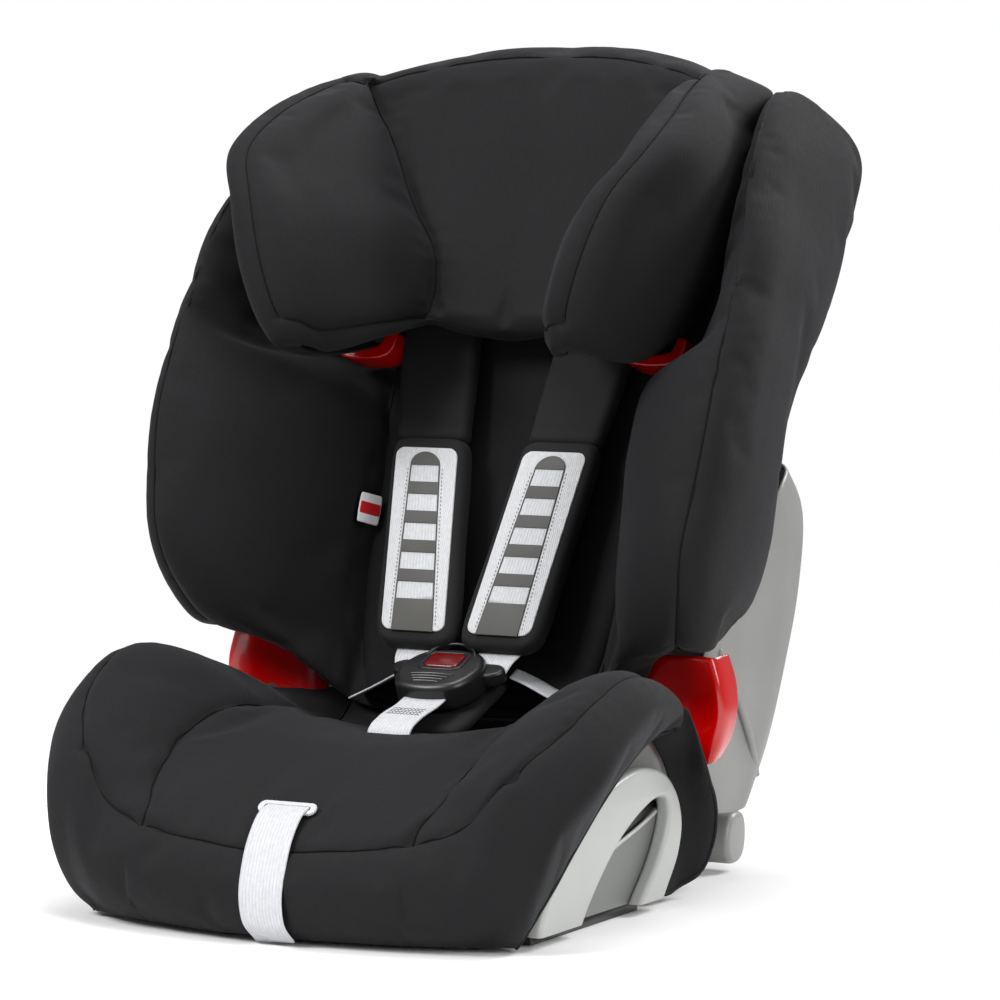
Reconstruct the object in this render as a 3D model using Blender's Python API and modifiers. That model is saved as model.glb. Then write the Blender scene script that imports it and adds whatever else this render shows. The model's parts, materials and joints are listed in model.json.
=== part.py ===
"""Forward-facing convertible child car seat: harness seat with a height-adjustable headrest.

A fixed base carries a seat that reclines on a curved track. The seat holds the padded shell, the
five-point harness and the lap-belt guides. The headrest slides up the backrest and takes the
shoulder-belt guides and the harness pads with it.

Frame: metres, +Z up, -Y is the way the child faces, +X is the viewer's right from the front.
The origin is on the floor plane under the middle of the seat.
"""

import math

import bmesh
import bpy
from mathutils import Matrix, Vector

# ---------------------------------------------------------------- driving dimensions
BACK_ANGLE = math.radians(20.0)      # backrest's lean from the vertical
BACK_FOOT = (0.130, 0.138)           # y and z of the backrest plane's lower end
COVER_THICKNESS = 0.004
SHELL_THICKNESS = 0.0035
WEBBING_WIDTH = 0.038
WEBBING_THICKNESS = 0.0018
SIDES = ((-1, "left"), (1, "right"))
GAP = 0.0006                         # clearance between pieces that rest on each other

RECLINE_AXIS = (0.060, 0.600)        # y and z of the virtual centre of the recline track
PAN_RADIUS = 0.552                   # seat pan's underside, about the recline axis
RACK_RADIUS = 0.5557                 # middle of the rack under the pan
TRAY_RADIUS = 0.560                  # top of the base, about the recline axis
TRAY_HALF_WIDTH = 0.150
TRAY_FRONT = -0.135
RIB_WIDTH = 0.026                    # middle rib of the base, which rests on the floor under the origin
HOUSING_X = 0.1785                   # middle of the seat's side panels, which pass inside the arches
PANEL_X = 0.1827                     # middle of the base's recessed panels
ARCH_INNER_X = 0.1848
ARCH_OUTER_X = 0.1965
LEDGE_TOP = 0.006
LATCH_Y = -0.070                     # where the recline latch stands under its rack
LATCH_CLEARANCE = 0.0037             # from the middle of the rack to the resting latch
NOTCH_PITCH = 0.016
HANDLE_CENTRE = (0.0, -0.196, 0.018)
ADJUSTER_PIVOT = (0.0, -0.148, 0.107)

BUCKLE_ANGLE = math.radians(22.0)
BUCKLE_CENTRE = Vector((0.0, 0.047, 0.171))
BUCKLE_PIVOT_Z = 0.128               # where the crotch strap bends, in the cushion's slot
BUCKLE_LENGTH = 0.070
BUCKLE_WIDTH = 0.058
BUCKLE_THICKNESS = 0.024
BUTTON_PLACE = (0.0, 0.006, 0.0095)  # in the buckle's frame: to the side, along it, off its face
LATCH_PLACE = (0.0, -0.001, 0.0024)
TONGUE_X = 0.0125
TONGUE_PLACE = (0.0230, -0.002)

STRAP_TOP = (0.073, 0.181, 0.439)    # where a shoulder strap leaves the headrest, right side
STRAP_FOOT = (0.0375, 0.0770, 0.190)  # where the same strap reaches its tongue

COLOURS = {                          # base colour, roughness, metallic
    "fabric_black": ((0.030, 0.030, 0.032), 0.85, 0.0),
    "plastic_black": ((0.025, 0.025, 0.026), 0.45, 0.0),
    "plastic_light_grey": ((0.48, 0.49, 0.48), 0.40, 0.0),
    "plastic_mid_grey": ((0.20, 0.21, 0.20), 0.45, 0.0),
    "plastic_red": ((0.55, 0.0, 0.01), 0.20, 0.0),
    "webbing_white": ((0.75, 0.76, 0.80), 0.65, 0.0),
    "reflective_white": ((0.80, 0.81, 0.83), 0.40, 0.0),
    "foam": ((0.55, 0.55, 0.55), 0.90, 0.0),
    "steel": ((0.55, 0.56, 0.58), 0.30, 1.0),
}

SEAT = bpy.data.collections.new("convertible_car_seat")
HELPERS = bpy.data.collections.new("cutters")
MATERIALS = {}


# ---------------------------------------------------------------- frames and small maths
def back(u, v, w):
    """A point of the backrest's frame: u to the side, v forward of the backrest plane, w up it."""
    y = BACK_FOOT[0] + w * math.sin(BACK_ANGLE) - v * math.cos(BACK_ANGLE)
    z = BACK_FOOT[1] + w * math.cos(BACK_ANGLE) + v * math.sin(BACK_ANGLE)
    return Vector((u, y, z))


def back_rotation():
    """Turns an upright box so that its z runs up the backrest and its -y faces forward."""
    return Matrix.Rotation(-BACK_ANGLE, 4, "X")


def buckle_point(side, along, lift):
    """A point of the buckle's frame: along its axis towards the tongues, lift off its face."""
    y = along * math.cos(BUCKLE_ANGLE) - lift * math.sin(BUCKLE_ANGLE)
    z = along * math.sin(BUCKLE_ANGLE) + lift * math.cos(BUCKLE_ANGLE)
    return BUCKLE_CENTRE + Vector((side, y, z))


def buckle_rotation():
    return Matrix.Rotation(BUCKLE_ANGLE, 4, "X")


def interpolate(table, x):
    """Smooth value of a table of (x, value, value...) rows, as a tuple of its values."""
    rows = sorted(table)
    x = min(max(x, rows[0][0]), rows[-1][0])
    i = max(k for k in range(len(rows) - 1) if rows[k][0] <= x)
    lower, upper = rows[i], rows[i + 1]
    t = (x - lower[0]) / (upper[0] - lower[0])
    t = t * t * (3 - 2 * t) * 0.35 + t * 0.65
    return tuple(a + (b - a) * t for a, b in zip(lower[1:], upper[1:]))


def arc_z(y, radius):
    """Height of the recline track's arc of that radius at y."""
    return RECLINE_AXIS[1] - math.sqrt(radius ** 2 - (y - RECLINE_AXIS[0]) ** 2)


def mirrored(point, side):
    return Vector((point[0] * side, point[1], point[2]))


# ---------------------------------------------------------------- object helpers
def material(name):
    if name not in MATERIALS:
        colour, roughness, metallic = COLOURS[name]
        made = bpy.data.materials.new(name)
        made.use_nodes = True
        shader = made.node_tree.nodes["Principled BSDF"]
        shader.inputs["Base Color"].default_value = (*colour, 1.0)
        shader.inputs["Roughness"].default_value = roughness
        shader.inputs["Metallic"].default_value = metallic
        MATERIALS[name] = made
    return MATERIALS[name]


def add_object(name, data, material_name=None, collection=SEAT):
    obj = bpy.data.objects.new(name, data)
    collection.objects.link(obj)
    if material_name:
        data.materials.append(material(material_name))
    return obj


def from_bmesh(name, bm, material_name=None):
    mesh = bpy.data.meshes.new(name)
    bm.to_mesh(mesh)
    bm.free()
    return add_object(name, mesh, material_name)


def box(name, size, centre, material_name, rotation=None, bevel=0.0, segments=2):
    """A block with rounded edges, turned about its own centre."""
    bm = bmesh.new()
    bmesh.ops.create_cube(bm, size=1.0, matrix=Matrix.Diagonal((*size, 1.0)))
    obj = from_bmesh(name, bm, material_name)
    obj.matrix_world = Matrix.Translation(centre) @ (rotation or Matrix.Identity(4))
    if bevel:
        rounding = obj.modifiers.new("rounding", "BEVEL")
        rounding.width = bevel
        rounding.segments = segments
        rounding.use_clamp_overlap = True
    return obj


def cylinder(name, radius, length, centre, axis, material_name, sides):
    """A round bar centred on a point, along an axis."""
    bm = bmesh.new()
    bmesh.ops.create_cone(bm, cap_ends=True, segments=sides, radius1=radius, radius2=radius, depth=length)
    obj = from_bmesh(name, bm, material_name)
    turn = Vector(axis).to_track_quat("Z", "Y").to_matrix().to_4x4()
    obj.matrix_world = Matrix.Translation(centre) @ turn
    return obj


def skin(name, cage, thickness, inward, material_name, mirror=False, levels=1):
    """A shell of even thickness on a coarse cage of points, one list of points for each column.

    inward is 1 where the cage's normals point into the solid, and -1 where they point out.
    """
    columns, rows = len(cage), len(cage[0])
    bm = bmesh.new()
    bmesh.ops.create_grid(bm, x_segments=columns - 1, y_segments=rows - 1, size=0.5)
    for vertex in bm.verts:
        column = round((vertex.co.x + 0.5) * (columns - 1))
        row = round((vertex.co.y + 0.5) * (rows - 1))
        vertex.co = cage[column][row]
    obj = from_bmesh(name, bm, material_name)
    if mirror:
        halves = obj.modifiers.new("halves", "MIRROR")
        halves.merge_threshold = 0.0001
        halves.use_clip = True
    if levels:
        smooth = obj.modifiers.new("smooth", "SUBSURF")
        smooth.levels = smooth.render_levels = levels
    wall = obj.modifiers.new("wall", "SOLIDIFY")
    wall.thickness = thickness
    wall.offset = inward
    wall.use_even_offset = False
    return obj


def plate(name, outline, thickness, centre_x, material_name, rounding=0.0):
    """A flat plate across X: a smooth closed outline of (y, z) points, with rounded edges."""
    curve = bpy.data.curves.new(name, "CURVE")
    curve.dimensions = "2D"
    curve.fill_mode = "BOTH"
    curve.extrude = thickness / 2 - rounding
    curve.bevel_depth = rounding
    curve.bevel_resolution = 1
    curve.resolution_u = 3
    line = curve.splines.new("BEZIER")
    line.bezier_points.add(len(outline) - 1)
    for point, (y, z) in zip(line.bezier_points, outline):
        point.co = (y, z, 0.0)
        point.handle_left_type = point.handle_right_type = "AUTO"
    line.use_cyclic_u = True
    curve.offset = -rounding
    flat = add_object(name + "_outline", curve, None, HELPERS)
    evaluated = flat.evaluated_get(bpy.context.evaluated_depsgraph_get())
    bpy.context.view_layer.update()
    mesh = bpy.data.meshes.new_from_object(evaluated)
    bpy.data.objects.remove(flat)
    bm = bmesh.new()
    bm.from_mesh(mesh)
    bmesh.ops.remove_doubles(bm, verts=bm.verts, dist=0.00002)
    stand_up = Matrix(((0, 0, 1, centre_x), (1, 0, 0, 0), (0, 1, 0, 0), (0, 0, 0, 1)))
    bmesh.ops.transform(bm, matrix=stand_up, verts=bm.verts)
    bmesh.ops.recalc_face_normals(bm, faces=bm.faces)
    return from_bmesh(name, bm, material_name)


def ribbon(name, path, width, thickness, material_name, across=Vector((1, 0, 0))):
    """Webbing: a strip of even width along a path, thickened evenly to both sides."""
    half = across.normalized() * (width / 2)
    cage = [[Vector(p) - half for p in path], [Vector(p) + half for p in path]]
    return skin(name, cage, thickness, 0, material_name, levels=0)


def helper(obj):
    """Marks a cutter, which isn't part of the seat."""
    obj.hide_render = True
    obj.display_type = "WIRE"
    for collection in list(obj.users_collection):
        collection.objects.unlink(obj)
    HELPERS.objects.link(obj)
    return obj


def cut(obj, cutter):
    """Takes the cutter out of the object."""
    hole = obj.modifiers.new("cut_" + cutter.name, "BOOLEAN")
    hole.operation = "DIFFERENCE"
    hole.object = helper(cutter)


def join(obj, other):
    """Unites another solid with the object."""
    union = obj.modifiers.new("join_" + other.name, "BOOLEAN")
    union.operation = "UNION"
    union.object = helper(other)


# ---------------------------------------------------------------- backrest profiles
# Front rim of a wing: height up the back, side, reach forward.
WING_RIM = [(0.030, 0.214, 0.130), (0.060, 0.230, 0.172), (0.100, 0.242, 0.196), (0.180, 0.248, 0.198),
            (0.260, 0.247, 0.194), (0.340, 0.243, 0.180), (0.420, 0.240, 0.162), (0.470, 0.234, 0.132),
            (0.506, 0.214, 0.086)]
# Rear edge of a wing's outer side: height, side, reach forward.
WING_REAR = [(0.030, 0.206, 0.075), (0.060, 0.219, 0.045), (0.100, 0.225, 0.012), (0.180, 0.228, -0.002),
             (0.260, 0.228, -0.006), (0.340, 0.230, -0.028), (0.420, 0.234, -0.054), (0.470, 0.232, -0.062),
             (0.506, 0.214, -0.048)]
WING_ROWS = [0.030, 0.075, 0.130, 0.200, 0.265, 0.300, 0.370, 0.430, 0.475, 0.506]
HEADREST_BAY = 0.283                 # above this height the cover is recessed for the headrest
PAD_FACE = 0.028                     # front face of the back cover below the headrest
BAY_FACE = 0.0075                    # the same, behind the headrest


def cover_section(w):
    """Half cross-section of the back cover at height w, from the centre round the wing's rim."""
    rim_x, rim_v = interpolate(WING_RIM, w)
    rear_x, rear_v = interpolate(WING_REAR, w)
    if w < HEADREST_BAY:
        inner = [(0.0, PAD_FACE), (0.080, PAD_FACE), (0.130, PAD_FACE), (0.158, 0.026 + rim_v * 0.14),
                 (0.194, rim_v * 0.58)]
    else:
        inner = [(0.0, BAY_FACE), (0.080, BAY_FACE), (0.150, BAY_FACE), (0.197, 0.026), (0.205, rim_v * 0.55)]
    rim = [(rim_x - 0.022, rim_v - 0.022), (rim_x - 0.010, rim_v + 0.006), (rim_x + 0.006, rim_v - 0.004)]
    outer = [((rim_x + rear_x) / 2 + 0.009, (rim_v + rear_v) / 2), (rear_x + 0.006, rear_v + 0.020),
             (rear_x - 0.006, rear_v - 0.002)]
    return inner + rim + outer


def make_back_cover():
    sections = [[back(u, v, w) for u, v in cover_section(w)] for w in WING_ROWS]
    cage = [list(column) for column in zip(*sections)]
    return skin("back_cover", cage, COVER_THICKNESS, -1, "fabric_black", mirror=True)


def shell_section(w):
    """Half cross-section of the plastic back shell: a tray whose sides stand behind the foam."""
    rear_x, rear_v = interpolate(WING_REAR, w)
    corner_v = min(rear_v + 0.012, 0.0)
    return [(0.0, 0.0), (0.110, 0.0), (0.170, corner_v), (rear_x - 0.022, corner_v),
            (rear_x - 0.018, corner_v + 0.020), (rear_x - 0.018, corner_v + 0.040)]


def make_back_shell():
    heights = [0.120, 0.160, 0.220, 0.300, 0.400, 0.450, 0.480]
    sections = [[back(u, v, w) for u, v in shell_section(w)] for w in heights]
    cage = [list(column) for column in zip(*sections)]
    return skin("back_shell", cage, SHELL_THICKNESS, -1, "plastic_black", mirror=True)


def make_wing_foam(side, name):
    """Energy-absorbing foam between the cover's inner face and its outer face."""
    heights = [0.090, 0.130, 0.180, 0.240]
    rings = []
    bm = bmesh.new()
    for w in heights:
        rim_x, rim_v = interpolate(WING_RIM, w)
        rear_x = interpolate(WING_REAR, w)[0]
        ring = [(0.130, 0.010), (rear_x - 0.030, 0.010), (rear_x - 0.026, 0.060),
                (rim_x - 0.036, rim_v - 0.072), (0.194, rim_v * 0.58 - 0.036), (0.163, 0.024 + rim_v * 0.10),
                (0.134, 0.019)]
        rings.append([bm.verts.new(mirrored(back(u, v, w), side)) for u, v in ring])
    for lower, upper in zip(rings, rings[1:]):
        for i in range(len(lower)):
            j = (i + 1) % len(lower)
            bm.faces.new((lower[i], lower[j], upper[j], upper[i]))
    bm.faces.new(rings[0])
    bm.faces.new(rings[-1])
    bmesh.ops.recalc_face_normals(bm, faces=bm.faces)
    return from_bmesh(name, bm, "foam")


def make_backrest():
    make_back_shell()
    make_back_cover()
    for side, label in SIDES:
        make_wing_foam(side, "wing_foam_" + label)
    depth = PAD_FACE - COVER_THICKNESS - 2 * GAP
    box("back_foam", (0.200, depth, 0.175), back(0, depth / 2 + GAP, 0.140), "foam", back_rotation(), 0.004)
    insert_depth = 0.010
    box("comfort_insert", (0.226, insert_depth, 0.240), back(0, PAD_FACE + 3 * GAP + insert_depth / 2, 0.143),
        "fabric_black", back_rotation(), 0.0045)


# ---------------------------------------------------------------- headrest
# Columns from the centre, round the wing's rim, to the back; each is a list of (u, v, w) from the
# underside, up the front, over the top.
HEADREST_COLUMNS = [
    [(0, .055, .290), (0, .092, .286), (0, .088, .316), (0, .084, .362), (0, .080, .418), (0, .077, .484),
     (0, .074, .550), (0, .045, .561)],
    [(.026, .055, .290), (.026, .094, .285), (.028, .090, .315), (.032, .086, .360), (.045, .083, .415),
     (.062, .082, .477), (.085, .085, .540), (.085, .052, .551)],
    [(.052, .058, .290), (.052, .100, .284), (.056, .102, .312), (.064, .101, .352), (.090, .103, .402),
     (.122, .109, .450), (.150, .116, .510), (.150, .080, .521)],
    [(.076, .075, .281), (.070, .125, .270), (.080, .168, .296), (.094, .182, .340), (.118, .178, .390),
     (.146, .162, .440), (.162, .130, .498), (.162, .094, .511)],
    [(.096, .110, .268), (.086, .168, .257), (.108, .234, .274), (.130, .258, .322), (.154, .250, .376),
     (.173, .214, .432), (.172, .146, .490), (.171, .108, .503)],
    [(.112, .125, .264), (.100, .184, .253), (.128, .248, .270), (.153, .271, .318), (.176, .262, .370),
     (.191, .226, .426), (.183, .156, .486), (.180, .115, .500)],
    [(.124, .115, .268), (.122, .172, .257), (.151, .230, .277), (.174, .248, .320), (.191, .238, .370),
     (.199, .202, .426), (.190, .144, .488), (.185, .105, .500)],
    [(.132, .090, .278), (.140, .115, .272), (.162, .125, .298), (.178, .125, .335), (.189, .125, .380),
     (.194, .120, .432), (.188, .100, .489), (.183, .085, .502)],
    [(.128, .050, .295), (.133, .055, .290), (.148, .050, .312), (.160, .050, .342), (.170, .050, .385),
     (.175, .050, .435), (.170, .055, .491), (.168, .055, .505)],
    [(.108, .034, .298), (.110, .032, .297), (.122, .031, .318), (.134, .031, .345), (.144, .031, .390),
     (.148, .031, .440), (.145, .036, .496), (.145, .040, .508)],
]
HEADREST_SHELL_COLUMNS = [
    [(0, .0245, .312), (0, .0245, .370), (0, .0245, .440), (0, .0245, .530)],
    [(.085, .0245, .312), (.085, .0245, .370), (.090, .0245, .440), (.090, .0245, .500)],
    [(.105, .041, .312), (.118, .042, .360), (.132, .042, .430), (.135, .044, .478)],
    [(.120, .062, .312), (.140, .062, .355), (.156, .062, .420), (.160, .062, .465)],
    [(.126, .110, .310), (.148, .115, .350), (.168, .115, .410), (.171, .110, .450)],
]
SHOULDER_PAD_WIDTH = 0.068
CHEST_PAD_WIDTH = 0.074
CHEST_PAD_LENGTH = 0.170
CHEST_PAD_THICKNESS = 0.016
FRAME_WIDTH = 0.056
FRAME_LENGTH = 0.148
CARRIAGE_CENTRE = (0.0, 0.0175, 0.410)  # side, forward of and up the backrest plane
LEVER_CENTRE = (0.0, 0.008, 0.522)
RAIL_X = 0.060
RAIL_FACE = 0.0118                   # middle of the rails and lock bolts, forward of the backrest plane
BOLT_X = 0.074
BOLT_HEIGHT = 0.352


def strap_frame(side):
    """Origin, direction up the strap, face normal and rotation of a shoulder strap's straight run."""
    foot, top = mirrored(STRAP_FOOT, side), mirrored(STRAP_TOP, side)
    up = (top - foot).normalized()
    across = Vector((1, 0, 0))
    across = (across - up * across.dot(up)).normalized()
    normal = up.cross(across).normalized()
    if normal.y > 0:
        normal = -normal
    rotation = Matrix((across, up.cross(across), up)).transposed().to_4x4()
    return foot, up, normal, rotation


def make_harness_pads(side, label):
    """Shoulder sleeve, chest pad and its pale frame, all on one strap's line."""
    foot, up, normal, rotation = strap_frame(side)
    start = 0.022
    chest_centre = foot + up * (start + CHEST_PAD_LENGTH / 2) + normal * 0.004
    size = (CHEST_PAD_WIDTH, CHEST_PAD_THICKNESS, CHEST_PAD_LENGTH)
    chest = box("chest_pad_" + label, size, chest_centre, "fabric_black", rotation, 0.006)
    pocket = box("chest_pocket_" + label, (WEBBING_WIDTH + 0.010, 0.008, 0.040),
                 foot + up * start + normal * 0.004, None, rotation)
    cut(chest, pocket)
    frame_centre = chest_centre + normal * (CHEST_PAD_THICKNESS / 2 + 0.0011)
    size = (FRAME_WIDTH, 0.0018, FRAME_LENGTH)
    box("chest_frame_" + label, size, frame_centre, "reflective_white", rotation, 0.0006, 1)
    sleeve_start = start + CHEST_PAD_LENGTH + 0.001
    sleeve_length = (mirrored(STRAP_TOP, side) - foot).length - sleeve_start - 0.017
    box("shoulder_pad_" + label, (SHOULDER_PAD_WIDTH, 0.015, sleeve_length),
        foot + up * (sleeve_start + sleeve_length / 2) + normal * 0.002, "fabric_black", rotation, 0.005)


def make_belt_guide(side, label):
    """Hook for the vehicle's diagonal belt, hung from the headrest's lower corner."""
    outline = [(0.113, 0.286), (0.114, 0.272), (0.121, 0.265), (0.150, 0.265), (0.160, 0.272),
               (0.162, 0.284), (0.156, 0.284), (0.151, 0.275), (0.126, 0.274), (0.121, 0.286)]
    bm = bmesh.new()
    corners = [[bm.verts.new(back(u * side, v, w)) for u, w in outline] for v in (0.045, 0.075)]
    bm.faces.new(corners[0])
    bm.faces.new(corners[1])
    for i in range(len(outline)):
        j = (i + 1) % len(outline)
        bm.faces.new((corners[0][i], corners[0][j], corners[1][j], corners[1][i]))
    bmesh.ops.recalc_face_normals(bm, faces=bm.faces)
    guide = from_bmesh("shoulder_belt_guide_" + label, bm, "plastic_red")
    rounding = guide.modifiers.new("rounding", "BEVEL")
    rounding.width = 0.0015
    rounding.segments = 1


def make_headrest():
    cage = [[back(*point) for point in column] for column in HEADREST_COLUMNS]
    skin("headrest_cover", cage, COVER_THICKNESS, -1, "fabric_black", mirror=True)
    cage = [[back(*point) for point in column] for column in HEADREST_SHELL_COLUMNS]
    skin("headrest_shell", cage, 0.003, -1, "plastic_black", mirror=True)
    turned = back_rotation()
    box("headrest_carriage", (0.200, 0.005, 0.205), back(*CARRIAGE_CENTRE), "plastic_black", turned, 0.002, 1)
    for side, label in SIDES:
        make_belt_guide(side, label)
        make_harness_pads(side, label)
        rail_centre = back(RAIL_X * side, RAIL_FACE, 0.411)
        box("headrest_rail_" + label, (0.010, 0.0055, 0.158), rail_centre, "steel", turned, 0.001, 1)
        bolt_centre = back(BOLT_X * side, RAIL_FACE, BOLT_HEIGHT)
        box("lock_bolt_" + label, (0.016, 0.0045, 0.008), bolt_centre, "steel", turned, 0.0008, 1)
    box("headrest_lever", (0.070, 0.012, 0.022), back(*LEVER_CENTRE), "plastic_light_grey", turned, 0.004)


# ---------------------------------------------------------------- seat cushion
# Columns from the centre line to the side's lower edge; each is a list of (x, y, z) from the rear
# edge, over the front, to the bottom of the nose. The last column follows the base's arch.
CUSHION_COLUMNS = [
    [(0, .092, .114), (0, .020, .124), (0, -.060, .135), (0, -.140, .127), (0, -.198, .100),
     (0, -.233, .073), (0, -.253, .038), (0, -.224, .004)],
    [(.070, .092, .116), (.070, .020, .128), (.070, -.060, .140), (.070, -.140, .131), (.068, -.193, .104),
     (.066, -.230, .076), (.066, -.250, .040), (.060, -.218, .004)],
    [(.125, .080, .122), (.130, .015, .146), (.130, -.070, .157), (.131, -.136, .142), (.125, -.184, .113),
     (.120, -.221, .084), (.120, -.243, .044), (.115, -.207, .004)],
    [(.168, .052, .148), (.180, .010, .176), (.180, -.070, .195), (.180, -.134, .178), (.172, -.180, .142),
     (.158, -.213, .100), (.164, -.233, .050), (.151, -.196, .004)],
    [(.196, .046, .156), (.215, .004, .186), (.227, -.070, .212), (.226, -.124, .196), (.215, -.166, .166),
     (.194, -.200, .122), (.200, -.213, .058), (.174, -.188, .004)],
    [(.208, .056, .144), (.228, .016, .165), (.250, -.060, .176), (.254, -.119, .154),
     (.245, -.164, .116), (.228, -.186, .082), (.213, -.191, .046), (.182, -.182, .004)],
    [(.202, .066, .129), (.212, .024, .138), (.226, -.038, .138), (.228, -.094, .116), (.219, -.134, .084),
     (.209, -.158, .058), (.200, -.172, .032), (.184, -.176, .004)],
    [(.197, .070, .124), (.199, .025, .130), (.200, -.030, .123), (.200, -.085, .102), (.198, -.122, .077),
     (.196, -.146, .053), (.193, -.164, .028), (.186, -.174, .004)],
]
CROTCH_SLOT = (-0.045, 0.137)
ADJUSTER_SLOT = (-0.204, 0.0955)


def make_cushion():
    cage = [[Vector(p) for p in column] for column in CUSHION_COLUMNS]
    cushion = skin("seat_cushion", cage, COVER_THICKNESS, 1, "fabric_black", mirror=True)
    y, z = CROTCH_SLOT
    cut(cushion, box("crotch_slot", (WEBBING_WIDTH + 0.008, 0.016, 0.060), (0, y, z), None))
    y, z = ADJUSTER_SLOT
    cut(cushion, box("adjuster_slot", (WEBBING_WIDTH + 0.008, 0.050, 0.010), (0, y, z), None))
    foam = box("seat_foam", (0.230, 0.160, 0.026), (0, -0.010, 0.0975), "foam", None, 0.006)
    cut(foam, box("foam_slot", (0.050, 0.020, 0.060), (0, CROTCH_SLOT[0], 0.0975), None))
    for side, label in SIDES:
        make_side_flap(side, label)


def make_side_flap(side, label):
    """Fabric flap that hangs from the cushion behind the base's arch."""
    columns = [
        [(.1758, .084, .116), (.1758, .084, .085), (.1758, .084, .050), (.1758, .090, .024)],
        [(.1763, .106, .108), (.1763, .110, .080), (.1763, .114, .046), (.1763, .114, .018)],
        [(.1775, .121, .100), (.1785, .131, .074), (.1785, .137, .044), (.1775, .132, .018)],
        [(.1930, .130, .092), (.1960, .146, .066), (.1960, .154, .042), (.1930, .148, .022)],
    ]
    cage = [[mirrored(p, side) for p in column] for column in columns]
    return skin("side_flap_" + label, cage, 0.004, -side, "fabric_black")


def make_pan():
    """Seat pan: an arc-bottomed trough that rides on the base's track, with the rack under it."""
    stations = (0.130, 0.090, 0.045, 0.0, -0.045, -0.090, -0.130, -0.162)
    bottom = [(y, arc_z(y, PAN_RADIUS)) for y in stations]
    cage = []
    for x, lift in ((0.0, 0.0), (0.110, 0.0), (0.160, 0.002), (0.170, 0.014), (0.1705, 0.040)):
        cage.append([Vector((x, y, z + lift)) for y, z in bottom])
    skin("seat_pan", cage, SHELL_THICKNESS, -1, "plastic_black", mirror=True)
    slope = math.asin((LATCH_Y - RECLINE_AXIS[0]) / RACK_RADIUS)
    rack = box("recline_rack", (0.030, 0.060, 0.003), (0, LATCH_Y, arc_z(LATCH_Y, RACK_RADIUS)), "steel",
               Matrix.Rotation(slope, 4, "X"), 0.0005, 1)
    for step in (-1, 0, 1):
        y = LATCH_Y + NOTCH_PITCH * step
        notch = box("rack_notch_%d" % (step + 2), (0.018, 0.006, 0.020), (0, y, arc_z(y, RACK_RADIUS)), None)
        cut(rack, notch)


def make_side_housing(side, label):
    """Grey side panel of the seat, seen behind the base's arch."""
    outline = [(-0.140, 0.024), (-0.136, 0.044), (-0.104, 0.078), (-0.050, 0.108), (0.000, 0.121),
               (0.036, 0.1235), (0.064, 0.112), (0.066, 0.072), (0.046, 0.062), (0.0, 0.062),
               (-0.060, 0.062), (-0.115, 0.030)]
    return plate("side_housing_" + label, outline, 0.003, HOUSING_X * side, "plastic_mid_grey", 0.0006)


# ---------------------------------------------------------------- base
def make_tray():
    """Base: a hollow block with a concave arc on top, ledges for the arches and arms to the feet."""
    rear = 0.150
    stations = (rear, 0.110, 0.070, 0.030, -0.010, -0.050, -0.090, TRAY_FRONT)
    arc = [(y, arc_z(y, TRAY_RADIUS)) for y in stations]
    outline = arc + [(TRAY_FRONT, 0.0), (rear, 0.0)]
    bm = bmesh.new()
    face = bm.faces.new([bm.verts.new((-TRAY_HALF_WIDTH, y, z)) for y, z in outline])
    side = bmesh.ops.extrude_face_region(bm, geom=[face])
    moved = [v for v in side["geom"] if isinstance(v, bmesh.types.BMVert)]
    bmesh.ops.translate(bm, verts=moved, vec=(2 * TRAY_HALF_WIDTH, 0, 0))
    bmesh.ops.recalc_face_normals(bm, faces=bm.faces)
    tray = from_bmesh("base_tray", bm, "plastic_black")
    ledge_width = 2 * (ARCH_OUTER_X - 0.003)
    ledge_bottom = 0.0005
    ledge_centre = (0, -0.060, (LEDGE_TOP + ledge_bottom) / 2)
    join(tray, box("ledge", (ledge_width, 0.180, LEDGE_TOP - ledge_bottom), ledge_centre, None))
    join(tray, box("rear_arms", (0.340, 0.082, 0.018), (0, 0.184, 0.0105), None))
    hollow_width = TRAY_HALF_WIDTH - 0.015 - RIB_WIDTH / 2
    for side, label in SIDES:
        hollow_x = side * (RIB_WIDTH + hollow_width) / 2
        hollow = box("tray_hollow_" + label, (hollow_width, 0.250, 0.060), (hollow_x, 0.008, 0.0), None)
        cut(tray, hollow)
    cut(tray, box("latch_hole", (0.020, 0.014, 0.070), (0, LATCH_Y, 0.060), None))
    return tray


ARCH_OUTER = [(-0.1610, 0.006), (-0.1630, 0.017), (-0.149, 0.036), (-0.127, 0.058), (-0.097, 0.083),
              (-0.055, 0.103), (-0.013, 0.1135), (0.022, 0.1145), (0.053, 0.105), (0.074, 0.084),
              (0.081, 0.063),
              (0.073, 0.040), (0.052, 0.016), (0.040, 0.004)]
ARCH_HOLE = [(-0.108, -0.002), (-0.082, 0.022), (-0.055, 0.045), (-0.026, 0.065), (0.006, 0.080),
             (0.036, 0.087), (0.055, 0.084), (0.050, 0.066), (0.023, 0.042), (-0.010, 0.014),
             (-0.022, -0.002)]
ARCH_PANEL = [(-0.112, 0.008), (-0.086, 0.026), (-0.058, 0.049), (-0.040, 0.062), (0.0, 0.069),
              (0.058, 0.0785), (0.062, 0.060), (0.034, 0.036), (-0.004, 0.008)]


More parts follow.
